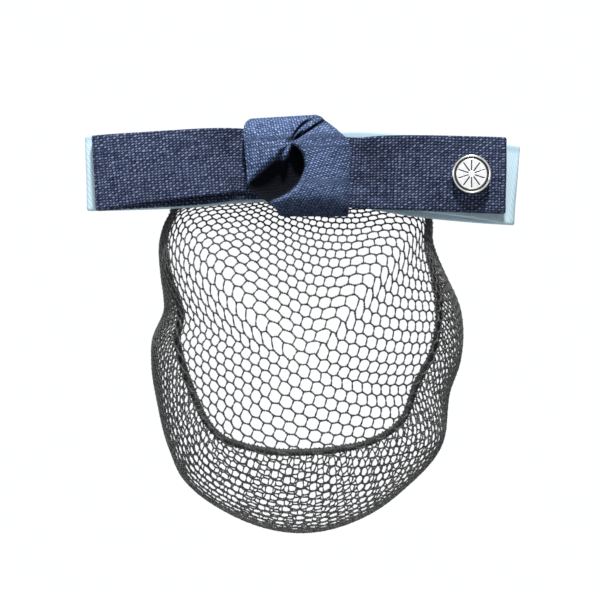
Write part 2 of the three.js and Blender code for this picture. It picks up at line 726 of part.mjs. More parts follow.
// Halves every edge longer than borderEdge, the same way in both triangles that share it.
function splitLongEdges(source) {
  const bare = source.clone();
  bare.deleteAttribute("normal");
  bare.deleteAttribute("uv");
  const merged = mergeVertices(bare, 1e-4);
  const position = merged.getAttribute("position");
  const corners = Array.from(merged.index.array);
  const points = Array.from({ length: position.count }, (_, i) =>
    new THREE.Vector3().fromBufferAttribute(position, i),
  );
  let triangles = Array.from({ length: corners.length / 3 }, (_, i) => corners.slice(3 * i, 3 * i + 3));
  shortenEdges(points, triangles);
  for (let round = 0; round < 5; round += 1) {
    const middles = new Map();
    const middle = (a, b) => {
      if (points[a].distanceTo(points[b]) <= borderEdge) return undefined;
      const key = Math.min(a, b) * 1e6 + Math.max(a, b);
      if (!middles.has(key)) middles.set(key, points.push(points[a].clone().lerp(points[b], 0.5)) - 1);
      return middles.get(key);
    };
    triangles = triangles.flatMap(([a, b, c]) => {
      const all = [a, middle(a, b), b, middle(b, c), c, middle(c, a)];
      const ring = all.filter((point) => point !== undefined);
      const start = ring.findIndex((point) => ![a, b, c].includes(point));
      if (start < 0) return [ring];
      const turned = [...ring.slice(start), ...ring.slice(0, start)];
      return turned.slice(1, -1).map((point, i) => [turned[0], point, turned[i + 2]]);
    });
  }
  const geometry = new THREE.BufferGeometry();
  const numbers = points.flatMap((point) => point.toArray());
  geometry.setAttribute("position", new THREE.Float32BufferAttribute(numbers, 3));
  geometry.setIndex(triangles.flat());
  return geometry;
}

function netPiece() {
  const outline = rimTurns.map((turn) => flatPoint(turn, rimOpen(turn)));
  const cloth = new THREE.Shape(outline);
  const rowStep = (meshPitch * Math.sqrt(3)) / 2;
  const holeRadius = (meshPitch - meshStrand) / Math.sqrt(3);
  const reach = Math.ceil((Math.PI * fabricRadius) / rowStep);
  for (let column = -reach; column <= reach; column += 1) {
    for (let row = -reach; row <= reach; row += 1) {
      const centre = new THREE.Vector2(column * rowStep, (row + (column % 2 ? 0.5 : 0)) * meshPitch);
      const corners = Array.from({ length: 6 }, (_, k) => {
        const angle = (k * Math.PI) / 3;
        return new THREE.Vector2(Math.cos(angle), Math.sin(angle)).multiplyScalar(holeRadius).add(centre);
      });
      const whole = corners.every((corner) => insideBy(outline, corner, meshBorder));
      if (whole) cloth.holes.push(new THREE.Path(corners));
    }
  }
  const sheet = new THREE.ExtrudeGeometry(cloth, { depth: netThickness, bevelEnabled: false });
  const geometry = splitLongEdges(sheet);
  const position = geometry.getAttribute("position");
  const step = 0.4;
  for (let i = 0; i < position.count; i += 1) {
    const [across, up, height] = [position.getX(i), position.getY(i), position.getZ(i)];
    const acrossRun = drape(across + step, up).sub(drape(across - step, up));
    const upRun = drape(across, up + step).sub(drape(across, up - step));
    const outward = acrossRun.cross(upRun).normalize();
    const point = drape(across, up).addScaledVector(outward, height - netThickness / 2);
    position.setXYZ(i, point.x, point.y, point.z);
  }
  return piece("net_bag", geometryOf(solidOf(geometry)), finishes.net);
}

// The edging: a round elastic that runs along the clip at the top and round the mouth, by the net's edge.
function edgingPiece() {
  const sides = 7;
  const count = rimTurns.length;
  const rim = rimTurns.map((turn) => bagPoint(turn, rimOpen(turn)));
  const around = (line, i) => line[(i + 1) % count].clone().sub(line[(i + count - 1) % count]).normalize();
  const line = rim.map((edge, i) => {
    const run = around(rim, i);
    const out = edge.clone().sub(bagPoint(rimTurns[i], rimOpen(rimTurns[i]) - 0.03));
    out.addScaledVector(run, -out.dot(run)).normalize();
    const corner = Math.min(Math.abs(rimTurns[i] - 50), Math.abs(rimTurns[i] - 130));
    const ease = cornerEase * Math.exp(-((corner / 9) ** 2));
    return edge.clone().addScaledVector(out, edgingRadius + 1.7 * seat + ease);
  });
  const positions = [];
  const index = [];
  line.forEach((middle, i) => {
    const run = around(line, i);
    const side = new THREE.Vector3().crossVectors(run, new THREE.Vector3(0, 1, 0)).normalize();
    const lift = new THREE.Vector3().crossVectors(side, run);
    for (let k = 0; k < sides; k += 1) {
      const angle = (2 * Math.PI * k) / sides;
      const point = middle.clone().addScaledVector(side, edgingRadius * Math.cos(angle));
      positions.push(...point.addScaledVector(lift, edgingRadius * Math.sin(angle)).toArray());
      const [a, b] = [i * sides + k, i * sides + ((k + 1) % sides)];
      const next = ((i + 1) % count) * sides;
      index.push(a, next + ((k + 1) % sides), b, a, next + k, next + ((k + 1) % sides));
    }
  });
  const geometry = new THREE.BufferGeometry();
  geometry.setAttribute("position", new THREE.Float32BufferAttribute(positions, 3));
  geometry.setIndex(index);
  return piece("net_edging", geometry, finishes.net);
}

const snood = new THREE.Group();
snood.add(clipPiece(), bluePiece(), navyPiece(), knotPiece());
snood.add(studBodyPiece(), enamelPiece(), studFacePiece());
snood.add(netPiece(), edgingPiece());

export default snood;
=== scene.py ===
"""A snood on a barrette clip: two ribbon bows, a twisted knot, a round stud and a knitted net bag.

Sizes in the sections are in millimetres, +Z up, with the bow's face towards -Y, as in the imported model.
Each piece's mesh is worked out in millimetres and stored in metres.
"""

import math

import bmesh
import bpy
import numpy as np
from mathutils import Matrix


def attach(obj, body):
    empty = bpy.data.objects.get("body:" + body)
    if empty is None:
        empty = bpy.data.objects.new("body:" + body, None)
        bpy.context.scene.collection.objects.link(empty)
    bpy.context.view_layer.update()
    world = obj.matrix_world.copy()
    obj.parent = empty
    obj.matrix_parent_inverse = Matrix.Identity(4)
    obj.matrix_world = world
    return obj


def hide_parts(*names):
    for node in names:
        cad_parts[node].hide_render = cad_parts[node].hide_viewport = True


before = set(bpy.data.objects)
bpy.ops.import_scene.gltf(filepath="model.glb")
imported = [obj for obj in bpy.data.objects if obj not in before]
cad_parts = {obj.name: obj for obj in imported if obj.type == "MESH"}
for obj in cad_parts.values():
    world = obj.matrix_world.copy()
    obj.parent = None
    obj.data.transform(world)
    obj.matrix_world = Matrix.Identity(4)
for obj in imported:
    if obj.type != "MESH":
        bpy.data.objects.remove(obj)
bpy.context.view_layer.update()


# Barrette clip. A stamped spring-steel plate with its bar shut behind it, bent from one strip and
# closed by a block at each end. The bows are sewn to the plate.
def node(tree, kind, inputs=None, **settings):
    """Adds one shader node. An input is a plain value, or the output socket that feeds it."""
    made = tree.nodes.new(kind)
    for name, value in settings.items():
        setattr(made, name, value)
    for key, value in (inputs or {}).items():
        if isinstance(value, bpy.types.NodeSocket):
            tree.links.new(value, made.inputs[key])
        else:
            made.inputs[key].default_value = value
    return made


def maths(tree, operation, *values):
    """The result of one sum on sockets or numbers."""
    return node(tree, "ShaderNodeMath", dict(enumerate(values)), operation=operation).outputs[0]


def noise(tree, place, scale, detail=2.0):
    """Cloudy values between about 0.3 and 0.7, with the given number of blobs in a unit of place."""
    return node(tree, "ShaderNodeTexNoise", {"Vector": place, "Scale": scale, "Detail": detail}).outputs[0]


def shades(tree, factor, *stops):
    """A colour that runs through the stops, each a place from 0 to 1 and a linear colour."""
    made = node(tree, "ShaderNodeValToRGB", {0: factor})
    while len(made.color_ramp.elements) < len(stops):
        made.color_ramp.elements.new(0.5)
    for element, (place, colour) in zip(made.color_ramp.elements, stops):
        element.position = place
        element.color = (*colour, 1)
    return made.outputs["Color"]


def dress(name, build):
    """A new material, whose build(tree, shader) makes its nodes round the Principled BSDF."""
    material = bpy.data.materials.new(name)
    material.use_nodes = True
    tree = material.node_tree
    build(tree, tree.nodes["Principled BSDF"])
    return material


def raise_surface(tree, shader, height, depth, strength):
    """Bump of the given depth in metres."""
    bump = node(tree, "ShaderNodeBump", {"Height": height, "Strength": strength, "Distance": depth})
    tree.links.new(bump.outputs[0], shader.inputs["Normal"])


def metal(name, colour, roughness, grain):
    """Silver-coloured metal with faint clouds of wear in its colour and its gloss."""

    def build(tree, shader):
        """One cloudy value sets the colour, from four fifths to all of it, the roughness and the bump."""
        place = node(tree, "ShaderNodeTexCoord").outputs["Object"]
        wear = noise(tree, place, grain, 4.0)
        worn = tuple(0.8 * part for part in colour)
        tree.links.new(shades(tree, wear, (0.3, worn), (0.6, colour)), shader.inputs["Base Color"])
        gloss = maths(tree, "MULTIPLY_ADD", wear, 0.22, roughness - 0.11)
        tree.links.new(gloss, shader.inputs["Roughness"])
        raise_surface(tree, shader, wear, 0.00005, 0.08)
        shader.inputs["Metallic"].default_value = 1

    return dress(name, build)


def make_clip():
    """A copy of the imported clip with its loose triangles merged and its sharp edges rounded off."""
    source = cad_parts["barrette_clip"]
    mesh = source.data.copy()
    work = bmesh.new()
    work.from_mesh(mesh)
    work.transform(source.matrix_world)
    bmesh.ops.remove_doubles(work, verts=work.verts, dist=1e-6)
    bmesh.ops.dissolve_limit(work, angle_limit=math.radians(0.8), verts=work.verts, edges=work.edges)
    work.to_mesh(mesh)
    work.free()
    mesh.materials.clear()
    mesh.materials.append(metal("clip steel", (0.45, 0.46, 0.47), 0.34, 500.0))
    clip = bpy.data.objects.new("clip_plate", mesh)
    bpy.context.scene.collection.objects.link(clip)
    edges = clip.modifiers.new("rounded edges", "BEVEL")
    edges.width = 0.00022
    edges.segments = 2
    edges.limit_method = "ANGLE"
    edges.angle_limit = math.radians(35)
    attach(clip, "root")
    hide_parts("barrette_clip")


make_clip()


# Light blue bow. One soft ribbon with fine slanting ribs, folded into a flat loop whose cut ends
# meet behind the knot. It is sewn to the clip's plate and shows as a margin round the navy bow.
SEAT = 0.3
HALF_GAP, PLATE_THICKNESS, WRAP_THICKNESS = 4.0, 1.2, 1.1
RIBBON_WIDTH = 22.6
RIBBON_THICKNESS = 1.2
WRAP_BACK = HALF_GAP + PLATE_THICKNESS + SEAT
BLUE_BACK = WRAP_BACK + WRAP_THICKNESS + SEAT + RIBBON_THICKNESS / 2
BLUE_REACH = (66.0, 65.1)
BLUE_OPENING = 1.8
BOW_ARCH = 600.0
RIBBON_CUP = 0.9
FOLD_POWER, FOLD_SPREAD, FOLD_STATIONS = 0.7, 2.5, 22
CUT_END, ROUTE_STEP = 0.5, 0.45
ACROSS_POINTS, EDGE_POINTS = 31, 7
SELVEDGE_RISE, SELVEDGE_PLACE, SELVEDGE_WIDTH = 0.16, 0.96, 0.03
GATHER_DEPTH, GATHER_FROM, GATHER_FULL, GATHER_FADE = 0.3, 9, 17, 8
LONG_RIPPLE, LONG_WAVE, SHORT_RIPPLE, SHORT_WAVE = 0.14, 6.1, 0.09, 2.3
RIB_PITCH, RIB_SLANT, RIB_WEFT = 0.85, 0.45, 0.55
# share of the reach, rise of the middle line, lift of the front layer, width
BLUE_LIE = np.array(
    [
        [-1.0, 0.0, 0.0, 1.0],
        [-0.78, 0.5, 0.0, 1.02],
        [-0.55, 1.2, 0.0, 1.03],
        [-0.42, 1.7, 0.0, 1.02],
        [-0.31, 2.0, 0.0, 0.98],
        [0.0, 1.8, 0.0, 0.92],
        [0.26, 1.3, 0.0, 1.0],
        [0.4, -0.1, 0.7, 1.01],
        [0.58, -2.0, 1.6, 1.01],
        [0.82, -3.3, 1.2, 1.03],
        [1.0, -3.7, 0.0, 1.06],
    ]
)
# share of the reach, opening of the loop, cup across the ribbon
LOOP_SHAPE = np.array(
    [
        [-1.0, 0.35, 0.4],
        [-0.88, 0.82, 0.8],
        [-0.76, 0.97, 0.95],
        [-0.55, 1.0, 1.0],
        [-0.42, 0.6, 0.6],
        [-0.31, 0.0, 0.0],
        [0.26, 0.0, 0.0],
        [0.4, 0.6, 0.6],
        [0.58, 1.0, 1.0],
        [0.82, 0.95, 0.8],
        [0.92, 0.8, 0.7],
        [1.0, 0.4, 0.4],
    ]
)


def read_table(table, column, at, period=None):
    """A smooth curve through one column of a table, whose first column is the key. It may go round."""
    keys, values = table[:, 0], table[:, column]
    if period:
        keys = np.concatenate([keys[-3:] - period, keys, keys[:3] + period])
        values = np.concatenate([values[-3:], values, values[:3]])
    i = np.clip(np.searchsorted(keys, at, "right") - 1, 0, len(keys) - 2)
    before, after = np.maximum(i - 1, 0), np.minimum(i + 2, len(keys) - 1)
    span = keys[i + 1] - keys[i]
    t = np.clip((at - keys[i]) / span, 0, 1)
    slope_in = (values[i + 1] - values[before]) / (keys[i + 1] - keys[before]) * span
    slope_out = (values[after] - values[i]) / (keys[after] - keys[i]) * span
    return (
        (2 * t**3 - 3 * t**2 + 1) * values[i]
        + (t**3 - 2 * t**2 + t) * slope_in
        + (3 * t**2 - 2 * t**3) * values[i + 1]
        + (t**3 - t**2) * slope_out
    )


def smooth_step(value, low, high):
    """0 below low, 1 above high, and an even S-curve between them."""
    share = np.clip((value - low) / (high - low), 0, 1)
    return share * share * (3 - 2 * share)


def along_bow(table, column, x, reach):
    """A table's value at x, read by the share of the reach on that side."""
    return read_table(table, column, np.where(x < 0, x / reach[0], x / reach[1]))


def blue_back(x):
    """Depth in front of the origin: the middle's, less the sag of an arch of 600 mm radius."""
    return BLUE_BACK - (BOW_ARCH - np.sqrt(BOW_ARCH**2 - x * x))


def blue_front(x):
    """The back layer's depth, plus one thickness and a gap, plus how far the loop stands open."""
    opening = np.maximum(0, along_bow(LOOP_SHAPE, 1, x, BLUE_REACH))
    return blue_back(x) + RIBBON_THICKNESS + SEAT + BLUE_OPENING * opening


def bow_cup(x):
    """How far the middle of every layer bulges forwards beyond its edges."""
    return RIBBON_CUP * np.maximum(0, along_bow(LOOP_SHAPE, 2, x, BLUE_REACH))


def grid_faces(rows, columns, round_rows=False, round_columns=False, first=0):
    """Four-sided faces of a grid of points stored row by row, closed in either direction if asked."""
    i = np.arange(rows if round_rows else rows - 1)[:, None]
    j = np.arange(columns if round_columns else columns - 1)[None, :]
    corners = [
        first + (i % rows) * columns + (j % columns),
        first + ((i + 1) % rows) * columns + (j % columns),
        first + ((i + 1) % rows) * columns + ((j + 1) % columns),
        first + (i % rows) * columns + ((j + 1) % columns),
    ]
    return np.stack(corners, -1).reshape(-1, 4)


def make_piece(name, points, faces, material, slot, stands_for=None, uv=None, **marks):
    """A smooth mesh piece from points in mm. uv is in mm, by point or by corner, and a mark by point."""
    mesh = bpy.data.meshes.new(name)
    whole_faces = np.asarray(faces).tolist() if isinstance(faces, np.ndarray) else faces
    mesh.from_pydata((np.asarray(points, float) * 0.001).tolist(), [], whole_faces)
    mesh.polygons.foreach_set("use_smooth", np.ones(len(mesh.polygons), bool))
    if uv is not None:
        corner = np.zeros(len(mesh.loops), np.int32)
        mesh.loops.foreach_get("vertex_index", corner)
        by_corner = uv if len(uv) == len(corner) else np.asarray(uv)[corner]
        mesh.uv_layers.new(name="cloth").data.foreach_set("uv", np.asarray(by_corner, np.float32).ravel())
    for mark, values in marks.items():
        layer = mesh.attributes.new(mark, "FLOAT", "POINT")
        layer.data.foreach_set("value", np.asarray(values, np.float32).ravel())
    mesh.materials.append(material)
    mesh.update()
    piece = bpy.data.objects.new(name, mesh)
    bpy.context.scene.collection.objects.link(piece)
    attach(piece, "root")
    if stands_for:
        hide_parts(stands_for)
    return piece


def loop_route(reach, back, front):
    """The ribbon's middle seen from above, as x, depth and layer: 0 behind, 1 in front, between in a fold.

    It runs from behind the knot to the left, round a fold, along the front, and back on the right. A fold
    is half of an oval whose sine and cosine are raised to a power below 1, which makes it squarer.
    """
    radius = [float(front(np.array(s * r)) - back(np.array(s * r))) / 2 for s, r in zip((-1, 1), reach)]
    ends = [radius[0] + RIBBON_THICKNESS / 2 - reach[0], reach[1] - radius[1] - RIBBON_THICKNESS / 2]
    runs = []
    stretches = ((-CUT_END, ends[0], back, 0), (*ends, front, 1), (ends[1], CUT_END, back, 0))
    for start, end, depth, layer in stretches:
        x = np.linspace(start, end, int(abs(end - start) / ROUTE_STEP))
        runs.append(np.stack([x, depth(x), np.full_like(x, layer)], 1))
    folds = []
    for side, x, r in ((-1, ends[0], radius[0]), (1, ends[1], radius[1])):
        angle = np.linspace(0, math.pi, FOLD_STATIONS)[1:-1]
        start, end = (float(depth(np.array(x))) for depth in ((back, front) if side < 0 else (front, back)))
        turn = np.sign(np.cos(angle)) * np.abs(np.cos(angle)) ** FOLD_POWER
        depth = (start + end) / 2 + (start - end) / 2 * turn
        bulge = side * r * np.sin(angle) ** FOLD_POWER
        folds.append(np.stack([x + bulge, depth, (1 + side * np.cos(angle)) / 2], 1))
    return np.concatenate([runs[0], folds[0], runs[1], folds[1], runs[2]])


def make_bow(name, stands_for, reach, back, front, lie, shapes, puff, material, slot):
    """A ribbon carried along its route, with rounded edges and a slightly thicker selvedge.

    Across the ribbon a point lies at v from -1 to 1. Its height is the middle's rise plus v times half the
    width, and its depth is the route's, plus a cup of 1 - v squared, a flare of v squared near the knot,
    a tilt of v, gathers beside the knot, and small ripples along the edges. The folds puff out unevenly.
    """
    narrow, flare, tilt = shapes
    route = loop_route(reach, back, front)
    x, depth, layer = route.T
    run = np.gradient(route[:, :2], axis=0)
    run /= np.linalg.norm(run, axis=1)[:, None]
    steps = np.linalg.norm(np.diff(route[:, :2], axis=0), axis=1)
    length = np.concatenate([[0], np.cumsum(steps)])

    def rise(at):
        """Height of the ribbon's middle: the table's rise, plus its lift on the front layer."""
        return along_bow(lie, 1, at, reach) + layer * along_bow(lie, 2, at, reach)

    half = RIBBON_WIDTH / 2 * (along_bow(lie, 3, x, reach) - layer * narrow(x))
    lean = (rise(x + 1) - rise(x - 1)) / 2
    rounding = RIBBON_THICKNESS / 2
    level = np.linspace(-1, 1, ACROSS_POINTS)
    bend = np.linspace(-math.pi / 2, math.pi / 2, EDGE_POINTS + 2)[1:-1]
    flat, face, rim = np.zeros(ACROSS_POINTS), np.ones(ACROSS_POINTS), np.ones(EDGE_POINTS)
    # Once round the section: up the outer face, over the top edge, down the inner face and under.
    share = np.concatenate([level, rim, -level, -rim])
    edge = rounding * np.concatenate([flat, np.cos(bend), flat, -np.cos(bend)])
    side = np.concatenate([face, -np.sin(bend), -face, np.sin(bend)])
    from_selvedge = (np.abs(share) - SELVEDGE_PLACE) / SELVEDGE_WIDTH
    selvedge = 1 + SELVEDGE_RISE * np.exp(-(from_selvedge**2))
    up = share * (half[:, None] - rounding) + edge
    v = up / half[:, None]
    off = side * selvedge * rounding
    fade = np.exp(-np.maximum(0, np.abs(x) - GATHER_FULL) / GATHER_FADE)
    near = smooth_step(np.abs(x), GATHER_FROM, GATHER_FULL) * fade
    gathers = GATHER_DEPTH * (near * layer)[:, None] * np.sin(2.4 * math.pi * v + np.sign(x)[:, None])
    ripple = LONG_RIPPLE * np.sin(x / LONG_WAVE + 1.7 * layer)[:, None] * v**2
    ripple = ripple + SHORT_RIPPLE * np.sin(x[:, None] / SHORT_WAVE + 2 * v) * np.abs(v) ** 3
    cup = bow_cup(x)[:, None] * (1 - v * v)
    spread = (flare(x) * layer)[:, None] * v * v + (tilt(x) * layer)[:, None] * v
    fold = np.exp(-(((np.abs(x) - np.where(x < 0, *reach)) / FOLD_SPREAD) ** 2))[:, None]
    uneven = puff * np.sign(x)[:, None] * fold * np.sin(4.3 * v + 0.8 * np.sign(x)[:, None])
    points = np.stack(
        [
            x[:, None] - run[:, 1:2] * off - lean[:, None] * up + uneven,
            -(depth[:, None] + run[:, :1] * off + cup + spread + gathers + ripple),
            rise(x)[:, None] + up,
        ],
        -1,
    )
    uv = np.stack([np.broadcast_to(length[:, None], up.shape), up], -1).reshape(-1, 2)
    rows, around = up.shape
    faces = grid_faces(rows, around, round_columns=True)[:, ::-1].tolist()
    faces.append(list(range(around)))
    faces.append([(rows - 1) * around + k for k in reversed(range(around))])
    bow = make_piece(name, points.reshape(-1, 3), faces, material, slot, stands_for, uv)


def build_ribbed(tree, shader):
    """Fine ribs that slant across the ribbon, crossed by a finer weft, in a soft light blue."""
    place = node(tree, "ShaderNodeUVMap", uv_map="cloth").outputs[0]
    parts = node(tree, "ShaderNodeSeparateXYZ", {0: place})
    along, across = parts.outputs[0], parts.outputs[1]
    slant = maths(tree, "MULTIPLY_ADD", across, RIB_SLANT, along)

    def ridges(way, pitch):
        """Ridges a pitch apart: the sine of pi times the way over the pitch, without its sign."""
        return maths(tree, "ABSOLUTE", maths(tree, "SINE", maths(tree, "MULTIPLY", way, math.pi / pitch)))

    rib, weft = ridges(slant, RIB_PITCH), ridges(across, RIB_WEFT)
    height = maths(tree, "MULTIPLY", rib, maths(tree, "MULTIPLY_ADD", weft, 0.35, 0.65))
    # Painted light: the tone follows the rib height, lighter on the rib tops and darker in the grooves,
    # times clouds of the yarn's own tone.
    tone = maths(tree, "MULTIPLY", height, maths(tree, "ADD", noise(tree, place, 1.2, 3.0), 0.5))
    low, middle, high = (0.38, 0.51, 0.59), (0.45, 0.6, 0.69), (0.49, 0.65, 0.74)
    colour = shades(tree, tone, (0.0, low), (0.4, middle), (0.9, high))
    # Painted shade: the band along the top edge, up from 9.3 mm, is mixed towards the darker blue
    # 'selvedge'.
    top_shade = node(tree, "ShaderNodeMapRange", {"Value": across, "From Min": 9.3, "From Max": 10.6})
    selvedge = (0.34, 0.46, 0.55, 1)
    inputs = {0: top_shade.outputs[0], 6: colour, 7: selvedge}
    colour = node(tree, "ShaderNodeMix", inputs, data_type="RGBA").outputs[2]
    tree.links.new(colour, shader.inputs["Base Color"])
    raise_surface(tree, shader, height, 0.0001, 0.45)
    shader.inputs["Roughness"].default_value = 0.8
    shader.inputs["Specular IOR Level"].default_value = 0.2


def no_change(x):
    """A bow that neither narrows, flares nor tilts anywhere."""
    return 0 * x


make_bow(
    "light_blue_loop",
    "light_blue_bow",
    BLUE_REACH,
    blue_back,
    blue_front,
    BLUE_LIE,
    (no_change, no_change, no_change),
    0.04,
    dress("light blue ribbon", build_ribbed),
    "light_blue_ribbon",
)


# Navy bow. A coarse plain-woven ribbon of heathered yarn, folded into a loop like the blue one and laid
# in front of it. Its front layer is gathered by the knot, so its edges flare forwards beside the knot.
NAVY_REACH = (63.2, 61.4)
NAVY_OPENING = 3.4
WARP_PITCH, WEFT_PITCH, CROWN_SLANT, CROWN_ROUNDING = 0.8, 1.05, 0.5, 0.7
SLUB, SPARKLE, FLECK, TONE_SHIFT = 1.1, 0.5, 1.6, -1.15
# share of the reach, rise of the middle line, lift of the front layer, width, narrowing of the front layer
NAVY_LIE = np.array(
    [
        [-1.0, -0.1, 0.0, 1.01, 0.0],
        [-0.78, 0.6, 0.7, 1.0, 0.05],
        [-0.55, 1.3, 1.2, 0.99, 0.08],
        [-0.42, 1.9, 1.4, 0.96, 0.08],
        [-0.31, 2.4, 1.4, 0.93, 0.08],
        [0.0, 1.5, 0.3, 0.86, 0.0],
        [0.26, 0.0, 0.0, 0.94, 0.0],
        [0.4, -0.1, 0.0, 0.97, 0.0],
        [0.58, -0.3, 0.0, 0.99, 0.0],
        [0.82, -0.6, 0.0, 1.01, 0.0],
        [1.0, -0.8, 0.0, 1.02, 0.0],
    ]
)


def navy_back(x):
    """The blue bow's front layer, plus one thickness and a gap."""
    return blue_front(x) + RIBBON_THICKNESS + SEAT


def navy_front(x):
    """The back layer's depth, plus one thickness and a gap, plus how far the loop stands open."""
    opening = np.maximum(0, along_bow(LOOP_SHAPE, 1, x, NAVY_REACH))
    return navy_back(x) + RIBBON_THICKNESS + SEAT + NAVY_OPENING * opening


def navy_narrow(x):
    """How much narrower the front layer is than the back, as a share."""
    return along_bow(NAVY_LIE, 4, x, NAVY_REACH)


def navy_flare(x):
    """Nothing inside the knot, 1.5 mm a little outside it, and nothing again on the open loop."""
    start = np.where(x < 0, 17.5, 14.0)
    return 1.5 * smooth_step(np.abs(x), start, start + 7) * (1 - smooth_step(np.abs(x), 26, 48))


def navy_tilt(x):
    """The right loop leans forward at its top edge, and the left loop a little at its lower edge."""
    return 1.5 * smooth_step(x, 14, 24) * (1 - smooth_step(x, 38, 58)) - 0.8 * smooth_step(-x, 20, 32)


def weave_group():
    """Plain weave: at each crossing one yarn's crown covers the other, with a dark hole at the corners.

    The yarns' twist slants each crown. Height is the relief, and the crosswise crowns lie lower. Tone is
    the height times the yarns' own light and dark fibres, so it also holds painted light: the crowns are
    painted lighter, and the low places and the lower crosswise crowns darker. Place is in millimetres
    along and across.
    """
    tree = bpy.data.node_groups.new("coarse plain weave", "ShaderNodeTree")
    tree.interface.new_socket("Place", in_out="INPUT", socket_type="NodeSocketVector")
    tree.interface.new_socket("Height", in_out="OUTPUT", socket_type="NodeSocketFloat")
    tree.interface.new_socket("Tone", in_out="OUTPUT", socket_type="NodeSocketFloat")
    place = tree.nodes.new("NodeGroupInput").outputs["Place"]

    def scaled(vector, factors):
        """The vector with each part times its own factor."""
        return node(tree, "ShaderNodeVectorMath", {0: vector, 1: factors}, operation="MULTIPLY").outputs[0]

    wander = node(tree, "ShaderNodeTexNoise", {"Vector": place, "Scale": 0.35, "Detail": 1.0})
    shift = scaled(wander.outputs["Color"], (0.6, 0.6, 0))
    moved = node(tree, "ShaderNodeVectorMath", {0: place, 1: shift}, operation="ADD").outputs[0]
    cells = node(tree, "ShaderNodeSeparateXYZ", {0: scaled(moved, (1 / WEFT_PITCH, 1 / WARP_PITCH, 0))})
    w = cells.outputs[1]
    u = maths(tree, "MULTIPLY_ADD", maths(tree, "FRACT", w), -CROWN_SLANT, cells.outputs[0])
    along = maths(tree, "SINE", maths(tree, "MULTIPLY", u, math.pi))
    across = maths(tree, "SINE", maths(tree, "MULTIPLY", w, math.pi))
    a = maths(tree, "ABSOLUTE", along)
    b = maths(tree, "ABSOLUTE", across)

    def crown(across_yarn, along_yarn, rise, least):
        """A yarn's relief: the rounding across it, times its least height plus the rise along it."""
        rounding = maths(tree, "POWER", across_yarn, CROWN_ROUNDING)
        return maths(tree, "MULTIPLY", rounding, maths(tree, "MULTIPLY_ADD", along_yarn, rise, least))

    # The crosswise crowns lie lower, so the tone below paints them darker, as if in shade.
    warp, weft = crown(b, a, 0.85, 0.15), crown(a, b, 0.33, 0.24)
    on_top = maths(tree, "GREATER_THAN", maths(tree, "MULTIPLY", along, across), 0.0)
    height = node(tree, "ShaderNodeMix", {0: on_top, 2: weft, 3: warp}).outputs[0]
    cell = node(tree, "ShaderNodeCombineXYZ", {0: maths(tree, "FLOOR", u), 1: maths(tree, "FLOOR", w)})
    heather = node(tree, "ShaderNodeTexWhiteNoise", {"Vector": cell.outputs[0]}, noise_dimensions="2D")
    sparkle = maths(tree, "POWER", heather.outputs["Value"], 1.5)
    thread_ways = ((0.12, 1.3, 1), (1.3, 0.12, 1))
    slub = maths(tree, "ADD", *(noise(tree, scaled(moved, way), 1.0) for way in thread_ways))
    fleck = noise(tree, place, 2.6, 2.0)
    glints = maths(tree, "MULTIPLY_ADD", sparkle, SPARKLE, TONE_SHIFT)
    yarn_tone = maths(tree, "MULTIPLY_ADD", slub, SLUB, glints)
    # Painted light: the tone is the height times the fibres, so the crowns are painted lighter and the low
    # places darker.
    tone = maths(tree, "MULTIPLY", height, maths(tree, "MULTIPLY_ADD", fleck, FLECK, yarn_tone))
    result = tree.nodes.new("NodeGroupOutput")
    tree.links.new(height, result.inputs["Height"])
    tree.links.new(tone, result.inputs["Tone"])
    return tree


coarse_weave = weave_group()


def woven(name, dark, middle, light):
    """Heathered cloth in the coarse weave, from the holes' dark colour to the lightest crowns.

    Where the mesh carries the mark 'hollow', painted shade darkens the cloth towards black,
    as in the depth of a fold.
    """

    def build(tree, shader):
        """The weave's tone picks the colour, the mark paints shade over it, and the weave's height is the
        bump.
        """
        place = node(tree, "ShaderNodeUVMap", uv_map="cloth").outputs[0]
        cloth = node(tree, "ShaderNodeGroup", {"Place": place}, node_tree=coarse_weave)
        colour = shades(tree, cloth.outputs["Tone"], (0.05, dark), (0.4, middle), (0.95, light))
        # Painted shade: the mark mixes the cloth's colour towards a near-black shade colour.
        hollow = node(tree, "ShaderNodeAttribute", attribute_name="hollow").outputs["Fac"]
        shade = (0.006, 0.007, 0.01, 1)
        colour = node(tree, "ShaderNodeMix", {0: hollow, 6: colour, 7: shade}, data_type="RGBA").outputs[2]
        tree.links.new(colour, shader.inputs["Base Color"])
        raise_surface(tree, shader, cloth.outputs["Height"], 0.0003, 0.8)
        shader.inputs["Roughness"].default_value = 0.85
        shader.inputs["Specular IOR Level"].default_value = 0.02
        shader.inputs["Sheen Weight"].default_value = 0.02
        shader.inputs["Sheen Tint"].default_value = (0.5, 0.6, 0.9, 1)

    return dress(name, build)


make_bow(
    "navy_loop",
    "navy_bow",
    NAVY_REACH,
    navy_back,
    navy_front,
    NAVY_LIE,
    (navy_narrow, navy_flare, navy_tilt),
    0.05,
    woven("navy ribbon", (0.004, 0.006, 0.012), (0.036, 0.047, 0.094), (0.165, 0.205, 0.325)),
    "navy_ribbon",
)


# Knot. The same navy ribbon wrapped round both bows and the plate and twisted once in front, so that
# lobes and folds fan out from a pinch. It hides the bows' cut ends and is sewn down behind.
BORE_FRONT = BLUE_BACK + 3 * (RIBBON_THICKNESS + SEAT) + RIBBON_THICKNESS / 2 + SEAT
BORE_LOW, BORE_HIGH = -11.4, 13.6
COVER = BORE_FRONT + 3.2
KNOT_LEFT, KNOT_RIGHT, KNOT_TOP, KNOT_BOTTOM = 17.9, 14.1, 17.4, 13.1
KNOT_BULGE, KNOT_TILT = 4.2, 0.06
PINCH_X, PINCH_Z, PINCH_HEIGHT, PINCH_REACH = -3.7, 8.5, 0.72, 2.2
KNOT_ROWS, KNOT_COLUMNS = 320, 131
KNOT_GATHER, GATHERS_ROUND, GATHER_REACH = 0.08, 19, 4
# where the right lobe, the ridge and the left lobe end, how the weave is turned on each, and its scale
LOBE_ENDS, WEAVE_TURNS, WEAVE_SCALES = (35.5, 55.5, 284), (26, 100, 82), (1.22, 1.0, 1.0)
